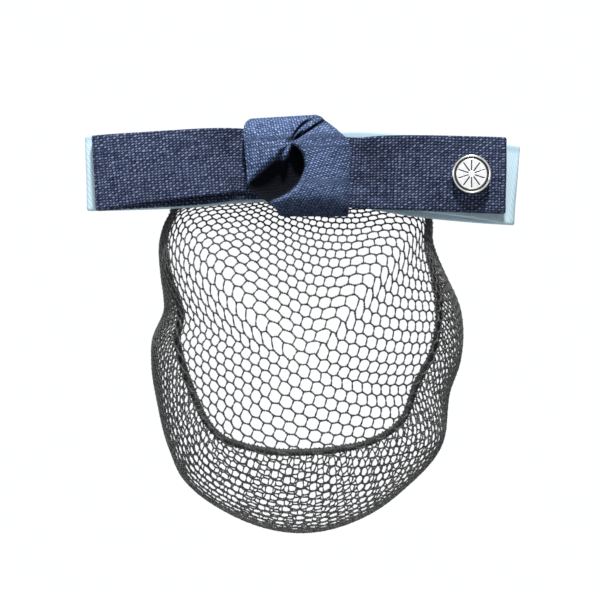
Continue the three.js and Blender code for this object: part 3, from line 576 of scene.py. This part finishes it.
# round the knot: up, forward, left, right, puff
KNOT_OUTSIDE = np.array(
    [
        [0, -0.95, 0.8, 0.38, 0.97, 0.2],
        [1, -0.66, 0.97, 0.62, 0.99, 0.65],
        [2, -0.38, 1.0, 0.9, 1.0, 0.92],
        [3, 0.1, 1.0, 0.95, 1.0, 1.0],
        [4, 0.46, 1.0, 0.98, 1.0, 1.0],
        [5, 0.7, 0.96, 1.0, 0.74, 0.85],
        [6, 0.91, 0.8, 0.97, 0.42, 0.35],
        [7, 1.0, 0.44, 0.84, 0.28, 0],
        [8, 0.87, 0.08, 0.7, 0.5, 0],
        [9, 0.2, 0, 0.6, 0.75, 0],
        [10, -0.84, 0.06, 0.44, 0.88, 0],
        [11, -1.0, 0.44, 0.34, 0.94, 0],
    ]
)
# angle round the pinch, height as a share of the knot's bulge
KNOT_LOBES = np.array(
    [
        [-76, -0.4],
        [-69, 0.75],
        [-58, 0.96],
        [-10, 1.0],
        [22, 0.97],
        [31, 0.84],
        [35.5, 0.05],
        [40, 0.55],
        [46, 0.68],
        [51, 0.52],
        [55.5, 0.05],
        [60, 0.78],
        [72, 0.96],
        [95, 1.0],
        [150, 0.97],
        [206, 1.02],
        [217, 0.99],
        [221, 0.86],
        [226, 0.2],
        [232, -0.12],
        [250, -0.28],
        [270, -0.4],
        [284, -0.4],
    ]
)


def lobe_angle(x, z):
    """The angle round the pinch, bent with the distance from it, and that distance.

    Below the pinch the folds turn by 5 degrees a mm, and above it the upper crease by 2.4 degrees a mm.
    """
    distance = np.hypot(x - PINCH_X, z - PINCH_Z)
    raw = np.degrees(np.arctan2(z - PINCH_Z, x - PINCH_X))
    below = smooth_step(raw, -141, -105) * (1 - smooth_step(raw, -30, 5))
    above = smooth_step(raw, 37, 48) * (1 - smooth_step(raw, 75, 110))
    reach = np.minimum(distance, 19)
    turned = raw + 5 * (reach - 10.6) * below + 2.4 * (reach - 8) * above
    return -76 + (turned + 76) % 360, distance


def make_knot():
    """An outer grid, once round the knot by across it, and an inner one that fits the bows and plate.

    The outside's depth is the wrap's, plus the bulge times the lobe's height, which fades to 0.72 at
    the pinch, plus small gathers that run out from the pinch. The mark 'hollow' is painted shade,
    1 deep in a fold and half where the front turns under.
    """
    rows, columns = KNOT_ROWS, KNOT_COLUMNS
    at = np.linspace(-0.5, 11.5, rows, endpoint=False)
    up, forward, left, right, puff = (read_table(KNOT_OUTSIDE, k, at, 12) for k in range(1, 6))
    v = np.linspace(-1, 1, columns)
    x = -KNOT_LEFT * left[:, None] + (KNOT_LEFT * left + KNOT_RIGHT * right)[:, None] * (v + 1) / 2
    level = np.where(up > 0, up * KNOT_TOP, up * KNOT_BOTTOM)
    z = level[:, None] + KNOT_TILT * x * np.maximum(0, up)[:, None]
    base = (WRAP_BACK + (COVER - WRAP_BACK) * forward)[:, None]
    angle, distance = lobe_angle(x, z)
    height = read_table(KNOT_LOBES, 1, angle)
    height = PINCH_HEIGHT + (height - PINCH_HEIGHT) * smooth_step(distance, 0.1, PINCH_REACH)
    swell = np.maximum(0, puff)[:, None] * (1 - v**6)
    fade = np.exp(-(((distance - GATHER_REACH) / GATHER_REACH) ** 2))
    gathers = KNOT_GATHER * np.sin(np.radians(angle) * GATHERS_ROUND + 0.5 * distance) * fade
    outer = np.stack([x, -(base + swell * (KNOT_BULGE * height + gathers)), z], -1)
    inner_depth = np.clip(base + 0 * v, WRAP_BACK + WRAP_THICKNESS, BORE_FRONT)
    inner = np.stack([x, -inner_depth, np.clip(z, BORE_LOW, BORE_HIGH)], -1)
    points = np.concatenate([outer.reshape(-1, 3), inner.reshape(-1, 3)])
    faces = [grid_faces(rows, columns, round_rows=True)[:, ::-1]]
    faces.append(grid_faces(rows, columns, round_rows=True, first=rows * columns))
    i = np.arange(rows)
    for j in (0, columns - 1):
        rim = np.stack([i * columns + j, (i + 1) % rows * columns + j], 1)
        inside = rim + rows * columns
        faces.append(np.concatenate([rim, inside[:, ::-1]] if j == 0 else [rim[:, ::-1], inside], 1))
    faces = np.concatenate(faces)
    # The weave lies its own way on each lobe, and its direction changes in the folds between them.
    middle_line = outer[:, columns // 2]
    step = np.linalg.norm(np.roll(middle_line, -1, 0) - middle_line, axis=1)
    arc = np.concatenate([[0], np.cumsum(step)[:-1]])
    flat = np.stack([x, np.broadcast_to(arc[:, None], x.shape)], -1).reshape(-1, 2)
    corners = np.concatenate([flat, flat])[faces]
    middle = points[faces].mean(1)
    face_angle, _ = lobe_angle(middle[:, 0], middle[:, 2])
    lobes = [face_angle < end for end in LOBE_ENDS]
    turn = np.select(lobes, WEAVE_TURNS, WEAVE_TURNS[0])
    turn = np.radians(np.where(middle[:, 1] > -COVER + 2.5, 0, turn))[:, None]
    corners = corners * np.select(lobes, WEAVE_SCALES, WEAVE_SCALES[0])[:, None, None]
    uv = np.stack(
        [
            corners[..., 0] * np.cos(turn) - corners[..., 1] * np.sin(turn),
            corners[..., 0] * np.sin(turn) + corners[..., 1] * np.cos(turn),
        ],
        -1,
    )
    # Painted light: the knot's copy of the navy cloth is coloured lighter than the bow's, though it is the
    # same ribbon.
    cloth = woven("knot ribbon painted lighter", (0.009, 0.014, 0.028), (0.07, 0.105, 0.215), (0.23, 0.32, 0.53))
    # Painted shade: full in the folds beside the ridge and creases, half towards the knot's bottom, where
    # the front turns under.
    fold = (1 - smooth_step(height, 0.1, 0.72)) * smooth_step(puff, 0.1, 0.45)[:, None]
    under = 0.5 * (1 - smooth_step(level, -13, -5))[:, None] * smooth_step(puff, -0.2, 0.1)[:, None]
    hollow = np.concatenate([np.maximum(fold, under).ravel(), np.zeros(rows * columns)])
    uv = uv.reshape(-1, 2)
    knot = make_piece("knot_wrap", points, faces, cloth, "knot_ribbon", "knot", uv, hollow=hollow)


make_knot()


# Stud. A small die-cast button riveted through the navy bow: a dish with a rolled rim, black enamel on
# its floor, and a silver face with ten inlaid rays round a plain hub.
STUD_INSET = 11.0
STUD_X, STUD_Z, STUD_RADIUS = NAVY_REACH[1] - STUD_INSET, -0.7, 5.75
STUD_FLOOR, STUD_HEIGHT, ROLL, STUD_AROUND = 0.6, 1.7, 0.275, 96
FACE_RADIUS, HUB_RADIUS, RAY_END, RAY_HALF_WIDTH, RAYS = 4.6, 1.15, 4.05, 0.17, 10
RAY_SINK, DOME_HEIGHT, DOME_RISE = 0.07, 0.36, 0.1


def stud_depths():
    """Front and back of the ribbon under the stud, at its nearest and its farthest."""
    shares = np.array([-1, -0.5, 0, 0.5, 1])
    spots = (STUD_X + r * shares for r in (STUD_RADIUS, 2.4))
    under, rivet = (navy_front(spot) + bow_cup(spot) for spot in spots)
    return float(under.max()) + RIBBON_THICKNESS / 2 + SEAT, float(rivet.min()) - RIBBON_THICKNESS / 2


def turn_stud(name, profile, material, slot, stands_for):
    """A profile of radius and depth turned round the stud's axis, closed at both ends."""
    profile = np.array(profile, float)
    angle = np.linspace(0, 2 * math.pi, STUD_AROUND, endpoint=False)[:, None]
    across = STUD_X + profile[:, 0] * np.cos(angle)
    points = np.stack([across, -profile[:, 1] + 0 * angle, STUD_Z + profile[:, 0] * np.sin(angle)], -1)
    count = len(profile)
    faces = grid_faces(STUD_AROUND, count, round_rows=True).tolist()
    faces.append([k * count for k in reversed(range(STUD_AROUND))])
    faces.append([k * count + count - 1 for k in range(STUD_AROUND)])
    make_piece(name, points.reshape(-1, 3), faces, material, slot, stands_for)


def build_enamel(tree, shader):
    """Glossy black enamel with faint clouds."""
    place = node(tree, "ShaderNodeTexCoord").outputs["Object"]
    cloud = noise(tree, place, 700.0)
    colour = shades(tree, cloud, (0.3, (0.006, 0.006, 0.007)), (0.7, (0.014, 0.014, 0.016)))
    tree.links.new(colour, shader.inputs["Base Color"])
    tree.links.new(maths(tree, "MULTIPLY_ADD", cloud, 0.15, 0.12), shader.inputs["Roughness"])
    shader.inputs["Coat Weight"].default_value = 0.5


def build_face(tree, shader):
    """Satin silver with a soft grain, and black enamel where the mark 'inlay' is 1."""
    place = node(tree, "ShaderNodeTexCoord").outputs["Object"]
    inlay = node(tree, "ShaderNodeAttribute", attribute_name="inlay").outputs["Fac"]
    grain = noise(tree, place, 1600.0, 4.0)
    silver = shades(tree, grain, (0.3, (0.8, 0.8, 0.79)), (0.6, (0.93, 0.93, 0.92)))
    enamel = (0.008, 0.008, 0.009, 1)
    colour = node(tree, "ShaderNodeMix", {0: inlay, 6: silver, 7: enamel}, data_type="RGBA").outputs[2]
    tree.links.new(colour, shader.inputs["Base Color"])
    tree.links.new(maths(tree, "SUBTRACT", 1.0, inlay), shader.inputs["Metallic"])
    satin = maths(tree, "MULTIPLY_ADD", grain, 0.2, 0.22)
    gloss = maths(tree, "SUBTRACT", satin, maths(tree, "MULTIPLY", inlay, 0.15))
    tree.links.new(gloss, shader.inputs["Roughness"])
    raise_surface(tree, shader, grain, 0.00003, 0.1)


def make_stud():
    """The dish, the enamel disc on its floor, and the face on that."""
    back, rivet = stud_depths()
    rivet -= 1.5 * SEAT
    floor, front = back + STUD_FLOOR, back + STUD_HEIGHT
    roll = np.linspace(math.pi, 0, 9)
    rim = [STUD_RADIUS - ROLL + ROLL * np.cos(roll), front - ROLL + ROLL * np.sin(roll)]
    rim = np.stack(rim, 1)
    dish = [[0.02, floor], [5.1, floor], [5.2, floor + 0.05], *rim.tolist()]
    dish += [[STUD_RADIUS, back + 0.25], [STUD_RADIUS - 0.08, back + 0.06], [STUD_RADIUS - 0.25, back]]
    dish += [[0.86, back], [0.8, back - 0.1], [0.8, rivet + 0.05], [0.9, rivet], [2.3, rivet]]
    dish += [[2.4, rivet - 0.1], [2.4, rivet - 0.4], [2.3, rivet - 0.5], [0.02, rivet - 0.5]]
    turn_stud("stud_dish", dish, metal("stud rim", (0.72, 0.71, 0.68), 0.2, 900.0), "stud_rim", "stud_body")
    low, high = floor + 0.05, floor + 0.45
    disc = [[0.02, high - 0.02], [4.7, high], [4.95, high - 0.06], [5.08, high - 0.16]]
    disc += [[5.1, low + 0.05], [5.05, low], [0.02, low]]
    turn_stud("stud_black", disc, dress("stud enamel", build_enamel), "stud_enamel", "stud_enamel")
    make_face(high + 0.05)


def make_face(base):
    """A slightly domed disc. Inside a ray's outline, a capsule from the hub to the edge, it is sunk."""
    rings, spokes = 70, 480
    radius = np.linspace(0.02, FACE_RADIUS, rings)[None, :]
    angle = np.linspace(0, 2 * math.pi, spokes, endpoint=False)[:, None]
    ray = (angle * RAYS / (2 * math.pi)) % 1 - 0.5
    aside = np.abs(np.sin(ray * 2 * math.pi / RAYS)) * radius
    beyond = np.maximum(np.maximum(HUB_RADIUS - radius, radius - RAY_END), 0)
    outside = np.hypot(aside, beyond) - RAY_HALF_WIDTH
    metal_share = smooth_step(outside, 0, 0.07)
    crown = DOME_HEIGHT + DOME_RISE * (1 - (radius / FACE_RADIUS) ** 2)
    dome = crown * smooth_step(FACE_RADIUS + 0.04 - radius, 0, 0.16)
    depth = base + dome - RAY_SINK * (1 - metal_share) * smooth_step(FACE_RADIUS - radius, 0, 0.3)
    points = np.stack([STUD_X + radius * np.cos(angle), -depth, STUD_Z + radius * np.sin(angle)], -1)
    rim = points[:, -1].copy()
    rim[:, 1] = -(base - 0.02)
    points = np.concatenate([points.reshape(-1, 3), rim])
    faces = grid_faces(spokes, rings, round_rows=True)[:, ::-1].tolist()
    faces.append([k * rings for k in range(spokes)])
    here = np.arange(spokes)
    after = (here + 1) % spokes
    side = np.stack([here, after], 1) * rings + rings - 1
    under = np.stack([after, here], 1) + spokes * rings
    faces += np.concatenate([side, under], 1)[:, ::-1].tolist()
    faces.append((spokes * rings + here[::-1]).tolist())
    inlay = np.concatenate([(1 - metal_share).ravel(), np.zeros(spokes)])
    face = dress("stud face", build_face)
    make_piece("stud_rays", points, faces, face, "stud_face", "stud_face", inlay=inlay)


make_stud()


# Net bag. A black nylon net, warp-knitted in hexagons: beaded zigzag chains along the rows and a thinner
# link between them. It is cut flat, gathered into the bow, and held out here as round as when it is filled.
BAG_HALF, BAG_FRONT, MOUTH_DEPTH, EDGING_Y, EDGING_RADIUS = 50.3, 42.0, 26.0, 4.0, 1.2
BAG_MIDDLE = -(6.0 + EDGING_RADIUS + SEAT) - BAG_HALF
CELL_WIDTH, CELL_ROW, CLOTH_RADIUS = 3.75, 3.35, 50.0
ZIGZAG, DRIFT, STRAND_BOW = 0.36, 0.2, 0.12
CLIP_ARCH, BOW_REACH, TUCK_LOW, TUCK_HIGH = 300, 40, -30, -9
CLEFT_X, CLEFT_Z, CLEFT_WIDTH, CLEFT_HEIGHT, CLEFT_DEPTH = 2, -21, 10, 11, 6
STATIONS, TUBE_SIDES = 5, 3
# name, lowest and highest height of each part
NET_PARTS = (("net_upper", -44, 0), ("net_middle", -77, -44), ("net_lower", -120, -77))
# turn round the bag, reach, waist, wrap
BAG_OUTLINE = np.array(
    [
        [-180, 0.924, 0.36, 122],
        [-164, 0.922, 0.36, 126],
        [-147, 0.97, 0.34, 130],
        [-136, 1.015, 0.32, 134],
        [-117, 1.02, 0.28, 140],
        [-90, 1.032, 0.26, 144],
        [-67, 1.006, 0.28, 141],
        [-50, 0.984, 0.32, 135],
        [-31, 0.985, 0.34, 130],
        [-17, 0.924, 0.36, 126],
        [-10, 0.916, 0.36, 124],
        [1, 0.962, 0.36, 121],
        [18, 1.014, 0.34, 115],
        [33, 1.026, 0.28, 105],
        [43, 1.08, 0.22, 97],
        [50, 1.2, 0.16, 91],
        [56, 1.2, 0.11, 90],
        [70, 1.064, 0.05, 90],
        [90, 1.0, 0.0, 90],
        [110, 1.064, 0.05, 90],
        [125, 1.19, 0.11, 90],
        [131, 1.215, 0.16, 91],
        [139, 1.15, 0.22, 96],
        [147, 1.035, 0.28, 103],
        [154, 0.945, 0.32, 109],
        [160, 0.905, 0.34, 113],
        [171, 0.93, 0.36, 118],
    ]
)


def bag_wrap(turn):
    """How far round from the foremost point the net runs on to the mouth, in radians."""
    return np.radians(read_table(BAG_OUTLINE, 3, turn, 360))


def bag_point(turn, opened):
    """The bag's surface: turn degrees round its middle, opened radians from its foremost point.

    It is a sphere stretched to the outline's reach and the bag's depths, with a cleft in front near the
    top, and it closes in behind the bow along the clip.
    """
    reach = BAG_HALF * read_table(BAG_OUTLINE, 1, turn, 360)
    waist = -EDGING_Y + MOUTH_DEPTH * read_table(BAG_OUTLINE, 2, turn, 360)
    x = reach * np.sin(opened) * np.cos(np.radians(turn))
    z = BAG_MIDDLE + reach * np.sin(opened) * np.sin(np.radians(turn))
    ahead = np.where(np.cos(opened) > 0, waist + BAG_FRONT, MOUTH_DEPTH)
    y = waist - ahead * np.cos(opened)
    off_cleft = ((x - CLEFT_X) / CLEFT_WIDTH) ** 2 + ((z - CLEFT_Z) / CLEFT_HEIGHT) ** 2
    y = y + CLEFT_DEPTH * np.exp(-off_cleft) * np.maximum(0, np.cos(opened))
    side = np.minimum(np.abs(x), BOW_REACH)
    behind = -EDGING_Y + CLIP_ARCH - np.sqrt(CLIP_ARCH**2 - side * side)
    y = y + (behind - y) * smooth_step(z, TUCK_LOW, TUCK_HIGH)
    return np.stack([x, y, z], -1)


def drape(flat):
    """Where a point of the flat net comes to lie, as turn and opened.

    The cloth's middle lies low on the front, and a point keeps its distance and direction from it, on a
    ball of the cloth's radius. The rows are turned by 20 degrees, as the bow was sewn on askew.
    """
    low, askew = math.radians(40), math.radians(-20)
    pole = np.array([0, -math.cos(low), -math.sin(low)])
    sideways = np.array([1.0, 0, 0])
    upwards = np.array([0, -math.sin(low), math.cos(low)])
    along = math.cos(askew) * sideways + math.sin(askew) * upwards
    above = math.cos(askew) * upwards - math.sin(askew) * sideways
    angle = np.linalg.norm(flat, axis=-1, keepdims=True) / CLOTH_RADIUS
    heading = np.arctan2(flat[..., 1:2], flat[..., :1])
    way = np.cos(angle) * pole + np.sin(angle) * (np.cos(heading) * along + np.sin(heading) * above)
    return np.degrees(np.arctan2(way[..., 2], way[..., 0])), np.arccos(np.clip(-way[..., 1], -1, 1))


def inside_mouth(flat):
    """More than nothing where a flat point lies within the net's cut edge."""
    turn, opened = drape(flat)
    return bag_wrap(turn) + 0.012 - opened


def net_strands():
    """The flat net's strands from a to b, and whether each is part of a chain.

    Each row is a zigzag whose high and low corners lie 0.36 mm off its line. A link drops from a low
    corner to the next row's high corner. To the right the low corners drift, which shears the cells.
    Strands that cross the cut edge are cut there, by halving.
    """
    j, k = (grid.ravel() for grid in np.meshgrid(np.arange(-48, 49), np.arange(-50, 51)))
    corner_x = (j + 0.5 * (k % 2)) * CELL_WIDTH
    drift = DRIFT * CELL_WIDTH * smooth_step(corner_x - 0.4 * k * CELL_ROW, -10, 45)
    high = np.stack([corner_x, k * CELL_ROW + ZIGZAG], -1)
    low = np.stack([corner_x + CELL_WIDTH / 2 - drift, k * CELL_ROW - ZIGZAG], -1)
    below = np.stack([corner_x + CELL_WIDTH / 2, (k - 1) * CELL_ROW + ZIGZAG], -1)
    a = np.concatenate([high, low, low])
    b = np.concatenate([low, high + [CELL_WIDTH, 0], below])
    chain = np.arange(len(a)) < 2 * len(high)
    a_in, b_in = inside_mouth(a) > 0, inside_mouth(b) > 0
    keep = (a_in | b_in) & (np.linalg.norm((a + b) / 2, axis=1) < 2.9 * CLOTH_RADIUS)
    a, b, chain, a_in, b_in = (part[keep] for part in (a, b, chain, a_in, b_in))
    a, b = np.where(a_in[:, None], a, b), np.where(a_in[:, None], b, a)
    near, far = np.zeros(len(a)), np.ones(len(a))
    for _ in range(12):
        half = (near + far) / 2
        good = inside_mouth(a + (b - a) * half[:, None]) > 0
        near, far = np.where(good, half, near), np.where(good, far, half)
    b = np.where((a_in & b_in)[:, None], b, a + (b - a) * near[:, None])
    keep = np.linalg.norm(b - a, axis=1) > 0.25
    return a[keep], b[keep], chain[keep]


def make_net():
    """Each strand is two plies wound round each other, as three-sided tubes of five stations.

    A chain is thicker and winds twice as fast as a link, and every strand bows a little outwards.
    """
    a, b, chain = net_strands()
    stations = np.linspace(0, 1, STATIONS)
    flat = a[:, None] + (b - a)[:, None] * stations[None, :, None]
    line = bag_point(*drape(flat))
    east = bag_point(*drape(flat + [0.05, 0])) - line
    north = bag_point(*drape(flat + [0, 0.05])) - line
    outward = np.cross(east, north)
    outward /= np.linalg.norm(outward, axis=-1, keepdims=True) + 1e-12
    run = np.gradient(line, axis=1)
    run /= np.linalg.norm(run, axis=-1, keepdims=True) + 1e-12
    aside = np.cross(run, outward)
    aside /= np.linalg.norm(aside, axis=-1, keepdims=True) + 1e-12
    line = line + outward * (STRAND_BOW * np.sin(math.pi * stations))[None, :, None]
    winds = np.where(chain, 1.5, 0.75)[:, None, None]
    thick = np.where(chain, 0.24, 0.18)[:, None, None, None]
    swing = np.where(chain, 0.18, 0.13)[:, None, None, None]
    ply = np.arange(2)[None, None, :] * math.pi
    phase = winds * 2 * math.pi * stations[None, :, None] + ply + 0.7 * np.arange(len(a))[:, None, None]
    wound = np.cos(phase)[..., None] * aside[:, :, None] + np.sin(phase)[..., None] * outward[:, :, None]
    centre = line[:, :, None] + swing * wound
    bead = 1 + 0.25 * np.cos(2 * math.pi * stations)[None, :, None, None]
    ring = np.arange(TUBE_SIDES) * 2 * math.pi / TUBE_SIDES
    spoke = (
        np.cos(ring)[:, None] * aside[:, :, None, None] + np.sin(ring)[:, None] * outward[:, :, None, None]
    )
    tubes = centre[:, :, :, None] + (thick * bead)[..., None] * spoke
    tube_points = STATIONS * TUBE_SIDES
    tubes = np.swapaxes(tubes, 1, 2).reshape(-1, tube_points, 3)
    walls = grid_faces(STATIONS, TUBE_SIDES, round_columns=True)
    cap = np.arange(TUBE_SIDES)
    ends = np.array([cap[::-1], cap + tube_points - TUBE_SIDES])
    height = np.repeat(line[:, 2, 2], 2)
    for name, low, high in NET_PARTS:
        part = tubes[(height > low) & (height <= high)]
        first = tube_points * np.arange(len(part))[:, None, None]
        sides = (walls + first).reshape(-1, 4)
        points = part.reshape(-1, 3)
        faces = sides.tolist() + (ends + first).reshape(-1, TUBE_SIDES).tolist()
        net = make_piece(name, points, faces, net_cord, "net_cord", "net_bag")


def cord(name, dark, light, roughness):
    """Dull black thread: fine fibres in its colour, its gloss and its surface; its lightest fibres are also
    painted glints.
    """

    def build(tree, shader):
        """Fibres and larger patches set the tone, and the fibres alone the roughness and the bump."""
        place = node(tree, "ShaderNodeTexCoord").outputs["Object"]
        fibre = noise(tree, place, 1400.0)
        patch = maths(tree, "MULTIPLY", noise(tree, place, 160.0, 1.0), 0.3)
        tone = maths(tree, "MULTIPLY_ADD", fibre, 0.7, patch)
        # Painted highlight: the light end of the tone stands in for glints on the nylon, besides the
        # thread's own fibre tone.
        tree.links.new(shades(tree, tone, (0.35, dark), (0.7, light)), shader.inputs["Base Color"])
        gloss = maths(tree, "MULTIPLY_ADD", fibre, 0.3, roughness - 0.15)
        tree.links.new(gloss, shader.inputs["Roughness"])
        raise_surface(tree, shader, fibre, 0.0001, 0.4)

    return dress(name, build)


net_cord = cord("net cord", (0.008, 0.008, 0.008), (0.09, 0.09, 0.088), 0.32)
make_net()


# Edging. A round covered elastic along the clip and round the bag's mouth. The net's cut edge is whipped
# to it with one thin thread, wound round the elastic all the way.
CORNER_EASE, SMOOTHINGS = 0.5, 6
ELASTIC_RADIUS, RIB_HEIGHT, RIB_STEPS, SWELL = 1.12, 0.055, 5, 0.03
THREAD_TURNS, THREAD_STEPS, THREAD_SIDES, THREAD_PATH, THREAD_RADIUS = 210, 14, 5, 1.28, 0.19


def edging_line(count):
    """The elastic's middle: the net's edge moved on by its radius and a gap, in even steps."""
    turn = np.linspace(-180, 180, count, endpoint=False)
    rim = bag_point(turn, bag_wrap(turn))
    run = np.roll(rim, -1, 0) - np.roll(rim, 1, 0)
    run /= np.linalg.norm(run, axis=1)[:, None]
    out = rim - bag_point(turn, bag_wrap(turn) - 0.03)
    out -= (out * run).sum(1)[:, None] * run
    out /= np.linalg.norm(out, axis=1)[:, None]
    corner = np.minimum(np.abs(turn - 50), np.abs(turn - 130))
    ease = CORNER_EASE * np.exp(-((corner / 9) ** 2))
    line = rim + out * (EDGING_RADIUS + 1.7 * SEAT + ease)[:, None]
    closed = np.concatenate([line, line[:1]])
    length = np.concatenate([[0], np.cumsum(np.linalg.norm(np.diff(closed, axis=0), axis=1))])
    even = np.linspace(0, length[-1], count, endpoint=False)
    line = np.stack([np.interp(even, length, closed[:, k]) for k in range(3)], 1)
    for _ in range(SMOOTHINGS):
        line = (np.roll(line, 1, 0) + 2 * line + np.roll(line, -1, 0)) / 4
    return line


def make_edging():
    """The elastic is a tube with slanting ribs. The thread is a tube on a helix round it."""
    count, around = 1500, 16
    line = edging_line(count)
    run = np.roll(line, -1, 0) - np.roll(line, 1, 0)
    run /= np.linalg.norm(run, axis=1)[:, None]
    side = np.cross(run, [0, 1, 0])
    side /= np.linalg.norm(side, axis=1)[:, None]
    lift = np.cross(side, run)
    angle = np.arange(around) * 2 * math.pi / around
    step = np.arange(count)[:, None]
    ribs = RIB_HEIGHT * np.sin(step * 2 * math.pi / RIB_STEPS + 2 * angle)
    radius = ELASTIC_RADIUS * (1 + ribs + SWELL * np.sin(step / 37.0))
    spoke = np.cos(angle)[:, None] * side[:, None] + np.sin(angle)[:, None] * lift[:, None]
    points = line[:, None] + radius[..., None] * spoke
    faces = grid_faces(count, around, round_rows=True, round_columns=True)[:, ::-1]
    elastic = cord("edging elastic", (0.005, 0.005, 0.0055), (0.022, 0.022, 0.023), 0.6)
    make_piece("edging_cord", points.reshape(-1, 3), faces, elastic, "edging_elastic", "net_edging")
    total = THREAD_TURNS * THREAD_STEPS
    at = np.arange(total) / total * count
    here = at.astype(int)
    share = (at - here)[:, None]
    middle, across, above = (
        values[here] * (1 - share) + values[(here + 1) % count] * share for values in (line, side, lift)
    )
    wind = np.arange(total)[:, None] * 2 * math.pi / THREAD_STEPS
    outward = np.cos(wind) * across + np.sin(wind) * above
    thread = middle + THREAD_PATH * outward
    forward = np.roll(thread, -1, 0) - np.roll(thread, 1, 0)
    forward /= np.linalg.norm(forward, axis=1)[:, None]
    over = np.cross(forward, outward)
    over /= np.linalg.norm(over, axis=1)[:, None]
    up = np.cross(over, forward)
    angle = np.arange(THREAD_SIDES) * 2 * math.pi / THREAD_SIDES
    spoke = np.cos(angle)[:, None] * over[:, None] + np.sin(angle)[:, None] * up[:, None]
    points = thread[:, None] + THREAD_RADIUS * spoke
    faces = grid_faces(total, THREAD_SIDES, round_rows=True, round_columns=True)
    make_piece("edging_whipping", points.reshape(-1, 3), faces, net_cord, "net_cord")


make_edging()


# Studio. A white room with a round pale floor well below the hanging snood, one lamp high in front and
# a weak one on the left. The camera is level and square to the bow.
FLOOR_Z, FLOOR_AROUND = -0.21, 96


def hang_lamp(name, place, size, watts, colour):
    """A square soft lamp that faces the snood."""
    data = bpy.data.lights.new(name, "AREA")
    data.size = size
    data.energy = watts
    data.color = colour
    lamp = bpy.data.objects.new(name, data)
    lamp.location = place
    towards = np.array([0, 0, -0.03]) - np.array(place)
    tip = math.atan2(math.hypot(towards[0], towards[1]), -towards[2])
    lamp.rotation_euler = (tip, 0, math.atan2(towards[1], towards[0]) - math.pi / 2)
    bpy.context.scene.collection.objects.link(lamp)


def make_studio():
    """The room's own light is white to look at and in reflections, and dimmer as a light."""
    hang_lamp("key", (0.07, -0.6, 0.83), 0.12, 20, (1, 0.985, 0.96))
    hang_lamp("fill", (-1.0, -0.3, 0.15), 0.5, 5, (0.95, 0.98, 1))
    world = bpy.data.worlds.new("white room")
    world.use_nodes = True
    tree = world.node_tree
    tree.nodes["Background"].inputs["Color"].default_value = (0.95, 0.97, 1, 1)
    ray = node(tree, "ShaderNodeLightPath")
    seen = maths(tree, "MULTIPLY_ADD", ray.outputs["Is Camera Ray"], 0.79, 0.26)
    strength = maths(tree, "MULTIPLY_ADD", ray.outputs["Is Glossy Ray"], 0.7, seen)
    tree.links.new(strength, tree.nodes["Background"].inputs["Strength"])
    bpy.context.scene.world = world
    bpy.context.scene.view_settings.view_transform = "Standard"

    angle = np.linspace(0, 2 * math.pi, FLOOR_AROUND, endpoint=False)[:, None]
    radius = np.array([0.003, 0.08, 0.16, 0.19, 0.2])
    drop = np.array([0, 0, 0, 0.001, 0.006])
    level = FLOOR_Z - drop + 0 * angle
    points = np.stack([radius * np.cos(angle), radius * np.sin(angle), level], -1)
    faces = grid_faces(FLOOR_AROUND, len(radius), round_rows=True).tolist()
    faces.append([len(radius) * k for k in reversed(range(FLOOR_AROUND))])
    mesh = bpy.data.meshes.new("floor")
    mesh.from_pydata(points.reshape(-1, 3).tolist(), [], faces)

    def build_floor(tree, shader):
        """A matt floor, in faint clouds between two close pale greys."""
        place = node(tree, "ShaderNodeTexCoord").outputs["Object"]
        cloud = noise(tree, place, 30.0)
        colour = shades(tree, cloud, (0.3, (0.8, 0.8, 0.79)), (0.7, (0.83, 0.83, 0.82)))
        tree.links.new(colour, shader.inputs["Base Color"])
        shader.inputs["Roughness"].default_value = 0.7

    mesh.materials.append(dress("pale floor", build_floor))
    floor = bpy.data.objects.new("floor", mesh)
    bpy.context.scene.collection.objects.link(floor)

    data = bpy.data.cameras.new("camera")
    data.sensor_width = 36
    data.lens = 140
    data.clip_start = 0.05
    data.clip_end = 20
    camera = bpy.data.objects.new("camera", data)
    camera.location = (-0.0009, -0.716, -0.0384)
    camera.rotation_euler = (math.radians(90), 0, 0)
    bpy.context.scene.collection.objects.link(camera)
    bpy.context.scene.camera = camera


make_studio()
